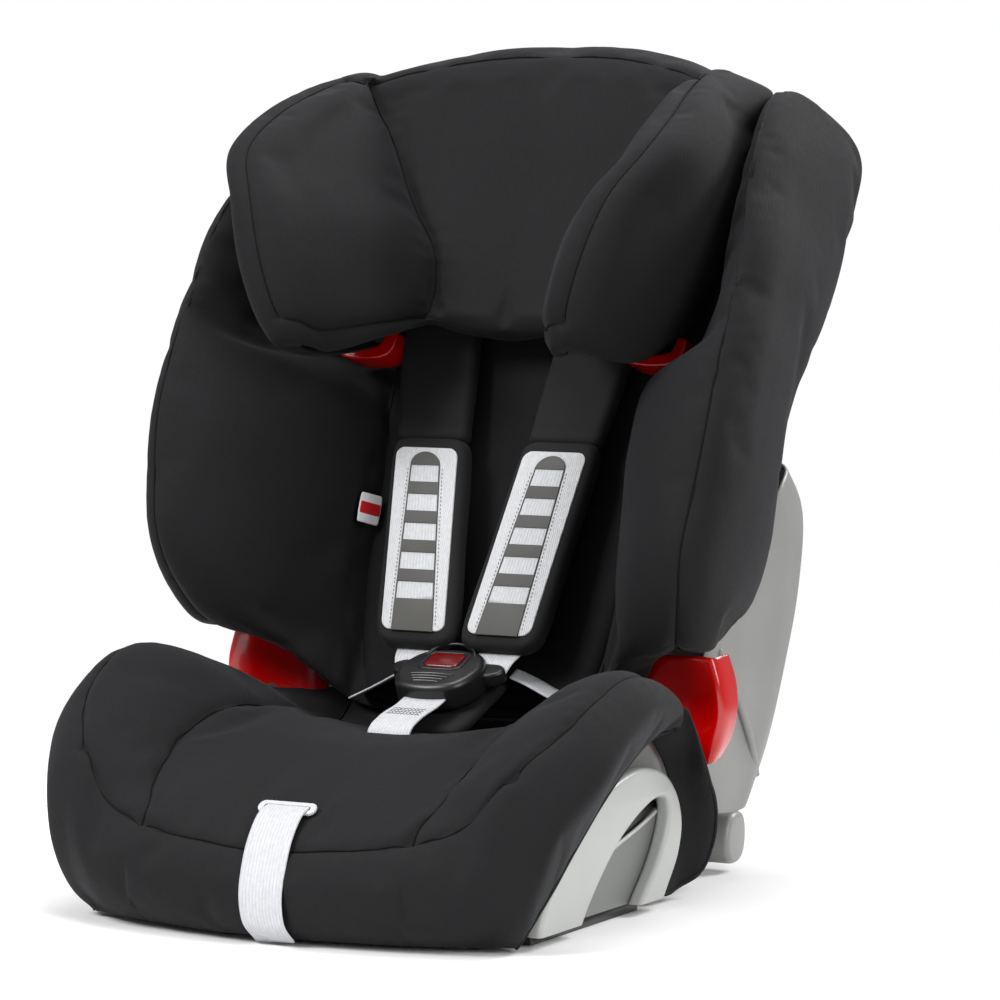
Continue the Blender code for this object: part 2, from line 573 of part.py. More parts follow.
def make_arch(side, label):
    """C-shaped side foot with a recessed panel in its lower opening."""
    middle = side * (ARCH_INNER_X + ARCH_OUTER_X) / 2
    width = ARCH_OUTER_X - ARCH_INNER_X
    arch = plate("side_arch_" + label, ARCH_OUTER, width, middle, "plastic_light_grey", 0.003)
    cut(arch, plate("arch_hole_" + label, ARCH_HOLE, 0.060, middle, None))
    floor_height = 0.030
    floor_centre = (middle, -0.050, LEDGE_TOP + GAP - floor_height / 2)
    cut(arch, box("arch_floor_" + label, (0.060, 0.300, floor_height), floor_centre, None))
    panel = plate("arch_panel_" + label, ARCH_PANEL, 0.003, PANEL_X * side, "plastic_mid_grey")
    cut(panel, bpy.data.objects["arch_floor_" + label])
    return arch, panel


def make_base():
    make_tray()
    for side, label in SIDES:
        make_arch(side, label)
        make_side_housing(side, label)
        outline = [(0.229, 0.012), (0.240, 0.0028), (0.262, 0.0028), (0.272, 0.014), (0.274, 0.036),
                   (0.262, 0.046), (0.240, 0.046), (0.229, 0.034)]
        plate("rear_foot_" + label, outline, 0.034, 0.1530 * side, "plastic_light_grey", 0.003)


# ---------------------------------------------------------------- rear fairing and lap-belt guides
def make_fairing():
    """Grey outer shell that wraps the lower back; its centre is cut higher to clear the base."""
    columns = [
        [(0, .266, .135), (0, .284, .185), (0, .306, .240), (0, .318, .292), (0, .308, .334),
         (0, .270, .352)],
        [(.100, .260, .130), (.100, .280, .180), (.100, .302, .235), (.100, .314, .290), (.100, .304, .332),
         (.100, .268, .350)],
        [(.174, .222, .086), (.178, .262, .138), (.182, .288, .204), (.183, .306, .268), (.183, .302, .318),
         (.180, .266, .344)],
        [(.194, .196, .062), (.202, .234, .110), (.208, .264, .180), (.211, .290, .246), (.212, .290, .300),
         (.210, .258, .332)],
        [(.190, .170, .060), (.196, .184, .100), (.204, .194, .152), (.208, .206, .206), (.209, .216, .256),
         (.209, .220, .294)],
        [(.184, .150, .066), (.188, .136, .100), (.198, .122, .142), (.202, .120, .176), (.203, .124, .202),
         (.203, .140, .220)],
    ]
    cage = [[Vector(p) for p in column] for column in columns]
    skin("rear_fairing", cage, SHELL_THICKNESS, 1, "plastic_light_grey", mirror=True)


def make_lap_guide(side, label):
    """Red hook that holds the vehicle's lap belt down beside the hip."""
    columns = [
        [(.160, .092, .176), (.161, .092, .156), (.162, .090, .136), (.165, .086, .124)],
        [(.186, .074, .184), (.186, .079, .160), (.186, .078, .136), (.187, .074, .120)],
        [(.214, .062, .192), (.213, .074, .164), (.211, .075, .138), (.210, .070, .114)],
        [(.238, .066, .200), (.236, .078, .168), (.229, .084, .138), (.222, .078, .104)],
        [(.240, .104, .208), (.237, .110, .172), (.229, .108, .138), (.218, .098, .106)],
    ]
    cage = [[mirrored(p, side) for p in column] for column in columns]
    return skin("lap_belt_guide_" + label, cage, 0.004, -side, "plastic_red")


# ---------------------------------------------------------------- harness, buckle and adjuster
def make_buckle():
    """Buckle case with a mouth for the tongues, a button and a latch plate inside."""
    rotation = buckle_rotation()
    size = (BUCKLE_WIDTH, BUCKLE_LENGTH, BUCKLE_THICKNESS)
    case = box("buckle_case", size, buckle_point(0, 0, 0), "plastic_black", rotation, 0.008, 3)
    cut(case, box("buckle_mouth", (0.046, 0.036, 0.007), buckle_point(0, 0.020, -0.002), None, rotation))
    cut(case, box("button_well", (0.032, 0.026, 0.014), buckle_point(0, 0.006, 0.0075), None, rotation))
    cut(case, box("webbing_mouth", (0.042, 0.020, 0.005), buckle_point(0, -0.032, -0.001), None, rotation))
    box("buckle_button", (0.030, 0.024, 0.006), buckle_point(*BUTTON_PLACE), "plastic_red", rotation, 0.002)
    box("buckle_latch", (0.012, 0.008, 0.0018), buckle_point(*LATCH_PLACE), "steel", rotation, 0.0004, 1)
    for side, label in SIDES:
        blade_centre = buckle_point(TONGUE_X * side, *TONGUE_PLACE)
        blade = (0.019, 0.026, 0.0026)
        tongue = box("tongue_" + label, blade, blade_centre, "plastic_black", rotation, 0.0006, 1)
        head_centre = buckle_point(0.0190 * side, 0.0410, -0.001)
        join(tongue, box("tongue_head_" + label, (0.034, 0.011, 0.010), head_centre, None, rotation, 0.003))


def make_webbing():
    """Visible webbing: crotch, lap, shoulder and adjuster straps."""
    y, z = CROTCH_SLOT
    path = [(0, y - 0.001, z - 0.059), (0, y, z - 0.010), (0, y + 0.003, z + 0.006),
            (0, y + 0.022, z + 0.016), buckle_point(0, -0.036, -0.001)]
    ribbon("crotch_strap", path, WEBBING_WIDTH, WEBBING_THICKNESS, "webbing_white")
    box("crotch_anchor", (0.070, 0.018, 0.004), (0, y - 0.001, z - 0.0625), "steel", None, 0.001, 1)
    pad_centre = buckle_point(0.002, -0.004, -BUCKLE_THICKNESS / 2 - 0.0055)
    box("crotch_pad", (0.078, 0.098, 0.009), pad_centre, "fabric_black", buckle_rotation(), 0.004)
    for side, label in SIDES:
        foot, up, normal, rotation = strap_frame(side)
        size = (WEBBING_WIDTH, WEBBING_THICKNESS, 0.022)
        box("shoulder_strap_" + label, size, foot + up * 0.025 + normal * 0.004, "webbing_white", rotation)
        path = [(0.052 * side, 0.0905, 0.176), (0.068 * side, 0.090, 0.166), (0.088 * side, 0.0895, 0.156),
                (0.108 * side, 0.0890, 0.150)]
        across = Vector((0.0, 0.5, 0.85))
        ribbon("lap_strap_" + label, path, 0.026, WEBBING_THICKNESS, "webbing_white", across)
    y, z = ADJUSTER_SLOT
    front = [(0, y + 0.030, z + 0.0040), (0, y + 0.012, z + 0.0020), (0, y - 0.006, z),
             (0, y - 0.022, z - 0.006), (0, y - 0.040, z - 0.026), (0, y - 0.053, z - 0.052),
             (0, y - 0.050, z - 0.074), (0, y - 0.030, z - 0.0915)]
    ribbon("adjuster_strap", front, WEBBING_WIDTH - 0.002, WEBBING_THICKNESS, "webbing_white")


def make_adjuster():
    """Webbing adjuster under the front of the cushion: housing, sprung lever and its pin."""
    y, z = ADJUSTER_PIVOT[1:]
    housing = box("adjuster_housing", (0.050, 0.024, 0.014), (0, y, z - 0.0005), "steel", None, 0.002, 1)
    cut(housing, box("housing_hollow", (0.042, 0.040, 0.014), (0, y, z + 0.0020), None))
    cylinder("adjuster_pin", 0.0015, 0.0405, ADJUSTER_PIVOT, (1, 0, 0), "steel", 12)
    box("adjuster_lever", (0.034, 0.028, 0.0022), (0, y, z + 0.0035), "plastic_black", None, 0.0007, 1)


def make_recline_handle():
    """Grip under the nose and the latch it pulls down from the rack."""
    handle = box("recline_handle", (0.100, 0.018, 0.016), HANDLE_CENTRE, "plastic_mid_grey", None, 0.004)
    stem_centre = (0, HANDLE_CENTRE[1] + 0.031, HANDLE_CENTRE[2])
    join(handle, box("handle_stem", (0.024, 0.052, 0.006), stem_centre, None))
    top = arc_z(LATCH_Y, RACK_RADIUS) - LATCH_CLEARANCE
    height = 0.0215
    box("recline_latch", (0.016, 0.005, height), (0, LATCH_Y, top - height / 2), "steel", None, 0.001, 1)


def hang(label, position, names):
    """Puts a moving group of pieces under an empty on its joint's axis, without moving them."""
    pivot = add_object(label + "_pivot", None)
    pivot.location = position
    pivot.empty_display_size = 0.02
    bpy.context.view_layer.update()
    for name in names:
        piece = bpy.data.objects[name]
        piece.parent = pivot
        piece.matrix_parent_inverse = pivot.matrix_world.inverted()
    return pivot


def make_joint_frames():
    """One empty for each joint; the seat's empty carries the joints that ride on the seat."""
    both = ("left", "right")
    fixed = ["base_tray"]
    for part in ("side_arch_", "arch_panel_", "rear_foot_"):
        fixed += [part + side for side in both]
    headrest = ["headrest_cover", "headrest_shell", "headrest_carriage"]
    for part in ("shoulder_belt_guide_", "shoulder_pad_", "chest_pad_", "chest_frame_"):
        headrest += [part + side for side in both]
    buckle = ["buckle_case", "crotch_strap", "crotch_pad"]
    moving = {
        "headrest": (back(*CARRIAGE_CENTRE), headrest),
        "headrest_lever": (back(*LEVER_CENTRE), ["headrest_lever"]),
        "lock_bolt_left": (back(-BOLT_X, RAIL_FACE, BOLT_HEIGHT), ["lock_bolt_left"]),
        "lock_bolt_right": (back(BOLT_X, RAIL_FACE, BOLT_HEIGHT), ["lock_bolt_right"]),
        "buckle": ((0, CROTCH_SLOT[0], BUCKLE_PIVOT_Z), buckle),
        "button": (buckle_point(*BUTTON_PLACE), ["buckle_button"]),
        "latch": (buckle_point(*LATCH_PLACE), ["buckle_latch"]),
        "tongue_left": (buckle_point(-TONGUE_X, *TONGUE_PLACE), ["tongue_left"]),
        "tongue_right": (buckle_point(TONGUE_X, *TONGUE_PLACE), ["tongue_right"]),
        "adjuster_lever": (ADJUSTER_PIVOT, ["adjuster_lever"]),
        "recline_handle": (HANDLE_CENTRE, ["recline_handle"]),
        "recline_latch": ((0, LATCH_Y, 0.046), ["recline_latch"]),
    }
    apart = set(fixed).union(*(names for _, names in moving.values()))
    seat = [obj.name for obj in SEAT.objects if obj.name not in apart]
    pivots = {"seat": hang("seat", (0, *RECLINE_AXIS), seat)}
    for label, (position, names) in moving.items():
        pivots[label] = hang(label, position, names)
    riders = {"seat": ("headrest", "buckle", "adjuster_lever"),
              "headrest": ("headrest_lever", "lock_bolt_left", "lock_bolt_right"),
              "buckle": ("button", "latch", "tongue_left", "tongue_right")}
    for carrier, labels in riders.items():
        for label in labels:
            pivots[label].parent = pivots[carrier]
            pivots[label].matrix_parent_inverse = pivots[carrier].matrix_world.inverted()


def main():
    for obj in list(bpy.data.objects):
        bpy.data.objects.remove(obj)
    for collection in (SEAT, HELPERS):
        bpy.context.scene.collection.children.link(collection)
    make_base()
    make_pan()
    make_cushion()
    make_backrest()
    make_fairing()
    make_headrest()
    for side, label in SIDES:
        make_lap_guide(side, label)
    make_buckle()
    make_webbing()
    make_adjuster()
    make_recline_handle()
    turned = back_rotation()
    box("yoke_plate", (0.060, 0.003, 0.040), back(0, -0.020, 0.160), "steel", turned, 0.001, 1)
    box("side_tag", (0.002, 0.018, 0.026), back(-0.1165, 0.052, 0.150), "webbing_white", turned, 0.0005, 1)
    make_joint_frames()


main()
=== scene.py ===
"""Looks of a convertible child car seat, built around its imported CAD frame.

Fabric covers are sheets that pass smoothly through a few columns of points. The headrest pad, the
backrest cover and the cushion cover are swelled by a short cloth simulation while their seams stay
pinned, then the seams are pressed in. Other padding and the webbing are modelled directly. Plastic
shells are sheets, or outlines with rounded edges.

Frame: metres, +Z up, -Y is the way the child faces, +X is the viewer's right from the front.
(u, v, w) is the backrest's own frame: u to the side, v forward of the backrest, w up it.
"""

import json
import math

import bmesh
import bpy
import numpy as np
from mathutils import Matrix, Vector, noise


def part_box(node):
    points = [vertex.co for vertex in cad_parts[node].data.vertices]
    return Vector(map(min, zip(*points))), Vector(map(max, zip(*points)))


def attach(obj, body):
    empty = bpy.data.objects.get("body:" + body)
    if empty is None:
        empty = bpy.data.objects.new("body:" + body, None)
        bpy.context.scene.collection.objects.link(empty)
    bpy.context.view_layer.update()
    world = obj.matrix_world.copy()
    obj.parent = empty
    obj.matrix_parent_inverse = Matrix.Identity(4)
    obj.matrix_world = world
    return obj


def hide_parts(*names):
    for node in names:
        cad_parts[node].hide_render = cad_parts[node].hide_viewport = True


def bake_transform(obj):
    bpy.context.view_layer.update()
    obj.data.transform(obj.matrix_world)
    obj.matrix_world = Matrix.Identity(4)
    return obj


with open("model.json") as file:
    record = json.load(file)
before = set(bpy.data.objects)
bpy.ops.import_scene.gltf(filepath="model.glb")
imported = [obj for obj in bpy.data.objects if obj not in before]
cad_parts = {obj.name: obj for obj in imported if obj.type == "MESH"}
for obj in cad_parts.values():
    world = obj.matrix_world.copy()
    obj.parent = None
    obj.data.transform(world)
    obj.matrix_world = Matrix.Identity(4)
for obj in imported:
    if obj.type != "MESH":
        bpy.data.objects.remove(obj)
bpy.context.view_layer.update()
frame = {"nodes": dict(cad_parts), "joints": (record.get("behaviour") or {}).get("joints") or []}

SIDES = ((-1, "left"), (1, "right"))
MM = 0.001
GRID = 6 * MM                # spacing of a cover's grid
SEAM_EDGE = 2 * MM           # where a cover's grid has an extra line beside a seam
COVER = 3 * MM               # thickness of a cover
CORD_STEP = 4 * MM           # spacing of sections along cords and webbing
SHARP = math.radians(40)     # edges steeper than this stay sharp


# ---------------------------------------------------------------- places from the CAD frame
def joint(name):
    return next(j for j in frame["joints"] if j["name"] == name)


def middle(node):
    low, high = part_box(node)
    return np.array((low + high) / 2)


def unit(vector):
    vector = np.asarray(vector, float)
    return vector / np.linalg.norm(vector)


SIDEWAYS = np.array((1.0, 0.0, 0.0))
BACK_UP = unit(joint("headrest_height")["axis"])
BACK_FORWARD = np.cross(BACK_UP, SIDEWAYS) * -1
INSERT_CENTRE = (0.0348, 0.143)      # the comfort insert's middle, forward of and up the backrest
BACK_FOOT = middle("comfort_insert") - BACK_FORWARD * INSERT_CENTRE[0] - BACK_UP * INSERT_CENTRE[1]


def back(u, v, w):
    """A point of the backrest's frame."""
    return BACK_FOOT + SIDEWAYS * u + BACK_FORWARD * v + BACK_UP * w


def place(origin, across, up):
    """Matrix of a local frame: x across, y up, z off the face."""
    across, up = unit(across), unit(up)
    facing = np.cross(across, up)
    turn = np.eye(4)
    turn[:3, 0], turn[:3, 1], turn[:3, 2], turn[:3, 3] = across, up, facing, origin
    return Matrix(turn.tolist())


# ---------------------------------------------------------------- smooth curves and surfaces
def through(points, marks):
    """Samples of a smooth curve through control points; marks lists the parameters in each span."""
    points = np.asarray(points, float)
    padded = np.concatenate([[2 * points[0] - points[1]], points, [2 * points[-1] - points[-2]]])
    samples = []
    for i, span in enumerate(marks):
        p = padded[i:i + 4]
        a, b, c = (np.maximum(np.linalg.norm(p[k + 1] - p[k], axis=-1, keepdims=True), 1e-5) ** 0.5
                   for k in range(3))
        leave = b * ((p[1] - p[0]) / a - (p[2] - p[0]) / (a + b) + (p[2] - p[1]) / b)
        arrive = b * ((p[2] - p[1]) / b - (p[3] - p[1]) / (b + c) + (p[3] - p[2]) / c)
        for t in span:
            rise = t * t * (3 - 2 * t)
            samples.append(p[1] * (1 - rise) + p[2] * rise + leave * (t * (1 - t) ** 2)
                           - arrive * (t * t * (1 - t)))
    samples.append(padded[-2])
    return np.array(samples)


def marks_of(lengths, step, seams=()):
    """Parameters in each span, about step apart, with one more on each side of a seam's control."""
    spans = []
    for i, length in enumerate(lengths):
        edge = SEAM_EDGE / length
        low = edge if i in seams and edge < 0.3 else 0.0
        high = 1 - edge if i + 1 in seams and edge < 0.3 else 1.0
        count = max(1, round((high - low) * length / step))
        inner = [low + (high - low) * k / count for k in range(count)]
        span = ([0.0] if low else []) + inner + ([high] if high < 1 else [])
        spans.append(span)
    return spans


def curve_through(points, step, closed=False):
    """Evenly sampled smooth curve through points."""
    points = np.asarray(points, float)
    if closed:
        points = np.concatenate([points[-2:], points, points[:3]])
    lengths = np.linalg.norm(np.diff(points, axis=0), axis=1)
    marks = marks_of(lengths, step)
    samples = through(points, marks)
    if closed:
        skip, extra = sum(len(m) for m in marks[:2]), sum(len(m) for m in marks[-2:])
        samples = samples[skip:len(samples) - 1 - extra]
    return samples


class Sheet:
    """A panel on a grid of points, and the grid lines where its control columns and rows fell."""

    def __init__(self, columns, step=GRID, seam_columns=(), seam_rows=(), mirror=False):
        columns = np.asarray(columns, float)
        self.centre = 0
        if mirror:
            self.centre = len(columns) - 1
            columns = np.concatenate([columns[:0:-1] * (-1, 1, 1), columns])
            seam_columns = [self.centre + s * c for c in seam_columns for s in (-1, 1)]
        across = np.linalg.norm(np.diff(columns, axis=0), axis=2).mean(axis=1)
        along = np.linalg.norm(np.diff(columns, axis=1), axis=2).mean(axis=0)
        column_marks = marks_of(across, step, seam_columns)
        row_marks = marks_of(along, step, seam_rows)
        wide = through(columns, column_marks)
        self.points = through(wide.swapaxes(0, 1), row_marks).swapaxes(0, 1)
        self.column_at = np.cumsum([0] + [len(m) for m in column_marks])
        self.row_at = np.cumsum([0] + [len(m) for m in row_marks])

    def column(self, control, side=1):
        return int(self.column_at[self.centre + side * control])

    def row(self, control):
        return int(self.row_at[control])

    def normals(self):
        across = np.gradient(self.points, axis=0)
        along = np.gradient(self.points, axis=1)
        facing = np.cross(across, along)
        return facing / np.maximum(np.linalg.norm(facing, axis=2, keepdims=True), 1e-9) * self.out

    def build(self, name, outward):
        """Mesh object whose middle faces along the direction outward."""
        columns, rows = self.points.shape[:2]
        index = np.arange(columns * rows).reshape(columns, rows)
        quads = np.stack([index[:-1, :-1], index[1:, :-1], index[1:, 1:], index[:-1, 1:]], axis=-1)
        self.out = 1
        facing = self.normals()[columns // 2, rows // 2]
        self.out = 1 if facing @ np.asarray(outward, float) > 0 else -1
        if self.out < 0:
            quads = quads[..., ::-1]
        mesh = bpy.data.meshes.new(name)
        mesh.from_pydata(self.points.reshape(-1, 3).tolist(), [], quads.reshape(-1, 4).tolist())
        across = np.linalg.norm(np.diff(self.points, axis=0, prepend=self.points[:1]), axis=2).cumsum(0)
        along = np.linalg.norm(np.diff(self.points, axis=1, prepend=self.points[:, :1]), axis=2).cumsum(1)
        uv = np.stack([across, along], axis=-1).reshape(-1, 2)
        write_uv(mesh, uv[vertex_of_loops(mesh)])
        self.obj = link(name, mesh)
        return self.obj

    def update(self):
        self.obj.data.vertices.foreach_set("co", self.points.astype(np.float32).ravel())
        self.obj.data.update()


def link(name, mesh):
    obj = bpy.data.objects.new(name, mesh)
    bpy.context.scene.collection.objects.link(obj)
    mesh.shade_smooth()
    return obj


def from_bmesh(name, bm):
    """Object made from a finished bmesh, which is freed."""
    mesh = bpy.data.meshes.new(name)
    bm.to_mesh(mesh)
    bm.free()
    return link(name, mesh)


def baked(obj):
    """Mesh of an object with its modifiers applied."""
    bpy.context.view_layer.update()
    graph = bpy.context.evaluated_depsgraph_get()
    return bpy.data.meshes.new_from_object(obj.evaluated_get(graph))


def vertex_of_loops(mesh):
    found = np.zeros(len(mesh.loops), np.int32)
    mesh.loops.foreach_get("vertex_index", found)
    return found


def write_uv(mesh, values):
    layer = mesh.uv_layers.new(name="weave")
    layer.data.foreach_set("uv", np.asarray(values, np.float32).ravel())


def box_uv(mesh):
    """Metres on each face, seen along the axis that it faces most."""
    layer = np.zeros((len(mesh.loops), 2), np.float32)
    for face in mesh.polygons:
        n = face.normal
        drop = max(range(3), key=lambda k: abs(n[k]))
        keep = [k for k in range(3) if k != drop]
        for i in face.loop_indices:
            co = mesh.vertices[mesh.loops[i].vertex_index].co
            layer[i] = co[keep[0]], co[keep[1]]
    write_uv(mesh, layer)


# ---------------------------------------------------------------- materials
def blank(name):
    made = bpy.data.materials.new(name)
    made.use_nodes = True
    return made, made.node_tree, made.node_tree.nodes["Principled BSDF"]


def put(tree, kind, inputs=None, **settings):
    """Adds a shader node; an input is a value or another node's output."""
    node = tree.nodes.new("ShaderNode" + kind)
    for key, value in settings.items():
        setattr(node, key, value)
    for key, value in (inputs or {}).items():
        if isinstance(value, bpy.types.NodeSocket):
            tree.links.new(value, node.inputs[key])
        else:
            node.inputs[key].default_value = value
    return node


def calc(tree, operation, a, b=0.0):
    return put(tree, "Math", {0: a, 1: b}, operation=operation).outputs[0]


def spread(tree, value, low, high):
    """Maps a 0 to 1 value to low to high."""
    return put(tree, "MapRange", {"Value": value, "To Min": low, "To Max": high}).outputs["Result"]


def grain(tree, scale, detail=2.0, stretch=(1, 1, 1)):
    """Noise in the object's own metres."""
    place_of = put(tree, "TexCoord").outputs["Object"]
    scaled = put(tree, "Mapping", {"Vector": place_of, "Scale": stretch}).outputs["Vector"]
    return put(tree, "TexNoise", {"Vector": scaled, "Scale": scale, "Detail": detail}).outputs["Fac"]


def tinted(tree, colour, value, low, high):
    """Colour made darker and lighter by a 0 to 1 value."""
    factor = spread(tree, value, low, high)
    mix = put(tree, "Mix", {"Factor": 1.0}, data_type="RGBA", blend_type="MULTIPLY")
    mix.inputs[6].default_value = (*colour, 1.0)
    tree.links.new(put(tree, "CombineColor", {"Red": factor, "Green": factor, "Blue": factor}).outputs[0],
                   mix.inputs[7])
    return mix.outputs[2]


def weave_axes(tree):
    """Metres across and along the cloth."""
    uv = put(tree, "UVMap", uv_map="weave").outputs["UV"]
    axes = put(tree, "SeparateXYZ", {0: uv})
    return axes.outputs["X"], axes.outputs["Y"]


def sine(tree, distance, turn):
    return calc(tree, "SINE", calc(tree, "MULTIPLY", distance, turn))


def threads(tree, pitch):
    """Height of a plain weave, -1 to 1."""
    across, along = weave_axes(tree)
    turn = 2 * math.pi / pitch
    return calc(tree, "MULTIPLY", sine(tree, across, turn), sine(tree, along, turn))


def wire(tree, shader, **inputs):
    for key, value in inputs.items():
        tree.links.new(value, shader.inputs[key.replace("_", " ")])


def fabric(name, colour, pitch=2.3 * MM, depth=0.22 * MM, sheen=0.05):
    """Knitted or woven cover cloth: fine weave, slubs, uneven dye and a soft sheen."""
    made, tree, shader = blank(name)
    weave = threads(tree, pitch)
    cloudy = grain(tree, 9.0, 4.0)
    slub = grain(tree, 330.0, 2.0, (1.0, 1.0, 0.5))
    fine = grain(tree, 1100.0)
    shade = calc(tree, "ADD", calc(tree, "MULTIPLY", cloudy, 0.6), calc(tree, "MULTIPLY", slub, 0.4))
    height = calc(tree, "ADD", calc(tree, "MULTIPLY", weave, 0.5), calc(tree, "MULTIPLY", fine, 0.9))
    height = calc(tree, "ADD", height, calc(tree, "MULTIPLY", slub, 0.7))
    bump = put(tree, "Bump", {"Height": height, "Distance": depth, "Strength": 0.6})
    wire(tree, shader, Base_Color=tinted(tree, colour, shade, 0.72, 1.30), Normal=bump.outputs[0],
         Roughness=spread(tree, slub, 0.70, 0.92))
    shader.inputs["Specular IOR Level"].default_value = 0.16
    shader.inputs["Sheen Weight"].default_value = sheen
    shader.inputs["Sheen Roughness"].default_value = 0.45
    shader.inputs["Sheen Tint"].default_value = (0.75, 0.77, 0.82, 1.0)
    return made


def webbing(name, colour, pitch=1.3 * MM):
    """Strap webbing: lengthwise ribs crossed by a twill."""
    made, tree, shader = blank(name)
    across, along = weave_axes(tree)
    turn = 2 * math.pi / pitch
    ribs = sine(tree, across, turn / 2.2)
    twill = sine(tree, calc(tree, "ADD", along, across), turn)
    height = calc(tree, "ADD", ribs, calc(tree, "MULTIPLY", twill, 0.7))
    lit = calc(tree, "ADD", calc(tree, "MULTIPLY", height, 0.25), grain(tree, 300.0))
    bump = put(tree, "Bump", {"Height": height, "Distance": 0.18 * MM, "Strength": 0.8})
    wire(tree, shader, Base_Color=tinted(tree, colour, lit, 0.78, 1.06), Normal=bump.outputs[0],
         Roughness=spread(tree, grain(tree, 600.0), 0.5, 0.75))
    shader.inputs["Sheen Weight"].default_value = 0.2
    return made


def plastic(name, colour, roughness, coat=0.0, texture=0.05 * MM, wear=0.12):
    """Moulded plastic: fine texture, uneven gloss and slightly rubbed edges."""
    made, tree, shader = blank(name)
    fine = grain(tree, 1100.0, 3.0)
    cloudy = grain(tree, 24.0, 3.0)
    edge = put(tree, "NewGeometry").outputs["Pointiness"]
    rubbed = put(tree, "MapRange", {"Value": edge, "From Min": 0.52, "From Max": 0.62}).outputs["Result"]
    shade = calc(tree, "ADD", calc(tree, "MULTIPLY", cloudy, 0.5),
                 calc(tree, "ADD", calc(tree, "MULTIPLY", rubbed, wear), calc(tree, "MULTIPLY", fine, 0.3)))
    bump = put(tree, "Bump", {"Height": fine, "Distance": texture, "Strength": 0.35})
    wire(tree, shader, Base_Color=tinted(tree, colour, shade, 0.86, 1.16), Normal=bump.outputs[0],
         Roughness=spread(tree, cloudy, roughness * 0.82, roughness * 1.18))
    shader.inputs["Coat Weight"].default_value = coat
    shader.inputs["Coat Roughness"].default_value = 0.06
    return made


def steel_metal():
    made, tree, shader = blank("brushed_steel")
    brushed = grain(tree, 420.0, 3.0, (0.06, 1.0, 1.0))
    bump = put(tree, "Bump", {"Height": brushed, "Distance": 0.04 * MM, "Strength": 0.4})
    wire(tree, shader, Base_Color=tinted(tree, (0.55, 0.56, 0.58), brushed, 0.85, 1.1),
         Normal=bump.outputs[0], Roughness=spread(tree, brushed, 0.24, 0.42))
    shader.inputs["Metallic"].default_value = 1.0
    return made


def foam_plastic():
    made, tree, shader = blank("cell_foam")
    cells = grain(tree, 380.0, 4.0)
    bump = put(tree, "Bump", {"Height": cells, "Distance": 0.5 * MM, "Strength": 0.7})
    wire(tree, shader, Base_Color=tinted(tree, (0.045, 0.045, 0.047), cells, 0.8, 1.1),
         Normal=bump.outputs[0], Roughness=spread(tree, cells, 0.85, 0.98))
    return made


LOOKS = {
    "cover": fabric("cover_cloth", (0.0098, 0.0098, 0.0108)),
    "insert": fabric("insert_cloth", (0.0080, 0.0080, 0.0090), 1.8 * MM, sheen=0.03),
    "pad": fabric("pad_cloth", (0.0135, 0.0135, 0.0140), 1.2 * MM, 0.08 * MM, 0.04),
    "piping": fabric("piping_cloth", (0.0100, 0.0100, 0.0110), 0.9 * MM, 0.06 * MM, 0.04),
    # near-black cloth for the lines along the cover seams: painted shade of the seam creases
    "seam": fabric("seam_crease_shade", (0.0030, 0.0030, 0.0032), 0.9 * MM, 0.05 * MM, 0.0),
    "rubber": plastic("soft_rubber", (0.052, 0.051, 0.046), 0.62, texture=0.12 * MM),
    "thread": plastic("dark_thread", (0.10, 0.10, 0.11), 0.7),
    "reflective": webbing("reflective_cloth", (0.70, 0.71, 0.73), 0.8 * MM),
    "webbing": webbing("strap_webbing", (0.62, 0.63, 0.66)),
    "tag": fabric("tag_cloth", (0.72, 0.72, 0.74), 0.8 * MM, 0.05 * MM, 0.1),
    "tag_red": fabric("tag_stripe", (0.50, 0.010, 0.012), 0.8 * MM, 0.05 * MM, 0.1),
    "black": plastic("black_plastic", (0.0105, 0.0105, 0.0110), 0.36),
    "light_grey": plastic("light_grey_plastic", (0.40, 0.41, 0.395), 0.36),
    "mid_grey": plastic("mid_grey_plastic", (0.200, 0.203, 0.193), 0.40),
    "panel_grey": plastic("panel_grey_plastic", (0.155, 0.160, 0.152), 0.42),
    "shell_grey": plastic("shell_grey_plastic", (0.245, 0.245, 0.238), 0.36),
    "red": plastic("red_plastic", (0.46, 0.0, 0.0), 0.20, coat=0.35, texture=0.01 * MM),
    "dark_red": plastic("dark_red_plastic", (0.11, 0.001, 0.002), 0.25, coat=0.2, texture=0.01 * MM),
    "steel": steel_metal(),
    "foam": foam_plastic(),
}
SLOT_LOOKS = {
    "fabric_black": "cover", "plastic_black": "black", "plastic_light_grey": "light_grey",
    "plastic_mid_grey": "mid_grey", "plastic_red": "red", "webbing_white": "webbing",
    "reflective_white": "reflective", "foam": "foam", "steel": "steel",
}
# Visible CAD nodes whose look isn't the one of their material slot.
NODE_LOOKS = {"headrest_shell": "black", "headrest_carriage": "black"}


def dress(obj, look, body, replaces=()):
    """Gives a finished piece its material, its body and the CAD nodes that it stands for."""
    obj.data.materials.clear()
    obj.data.materials.append(LOOKS[look])
    if not obj.data.uv_layers.get("weave"):
        box_uv(obj.data)
    if body:
        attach(obj, body)
    if replaces:
        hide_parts(*replaces)
    return obj


# ---------------------------------------------------------------- mesh helpers
def subdivide(obj):
    subdivision = obj.modifiers.new("smooth", "SUBSURF")
    subdivision.levels = subdivision.render_levels = 1


def thicken(obj, thickness=COVER):
    """Gives a sheet its wall, behind its face."""
    wall = obj.modifiers.new("wall", "SOLIDIFY")
    wall.thickness = thickness
    wall.offset = -1
    wall.use_even_offset = False
    subdivide(obj)


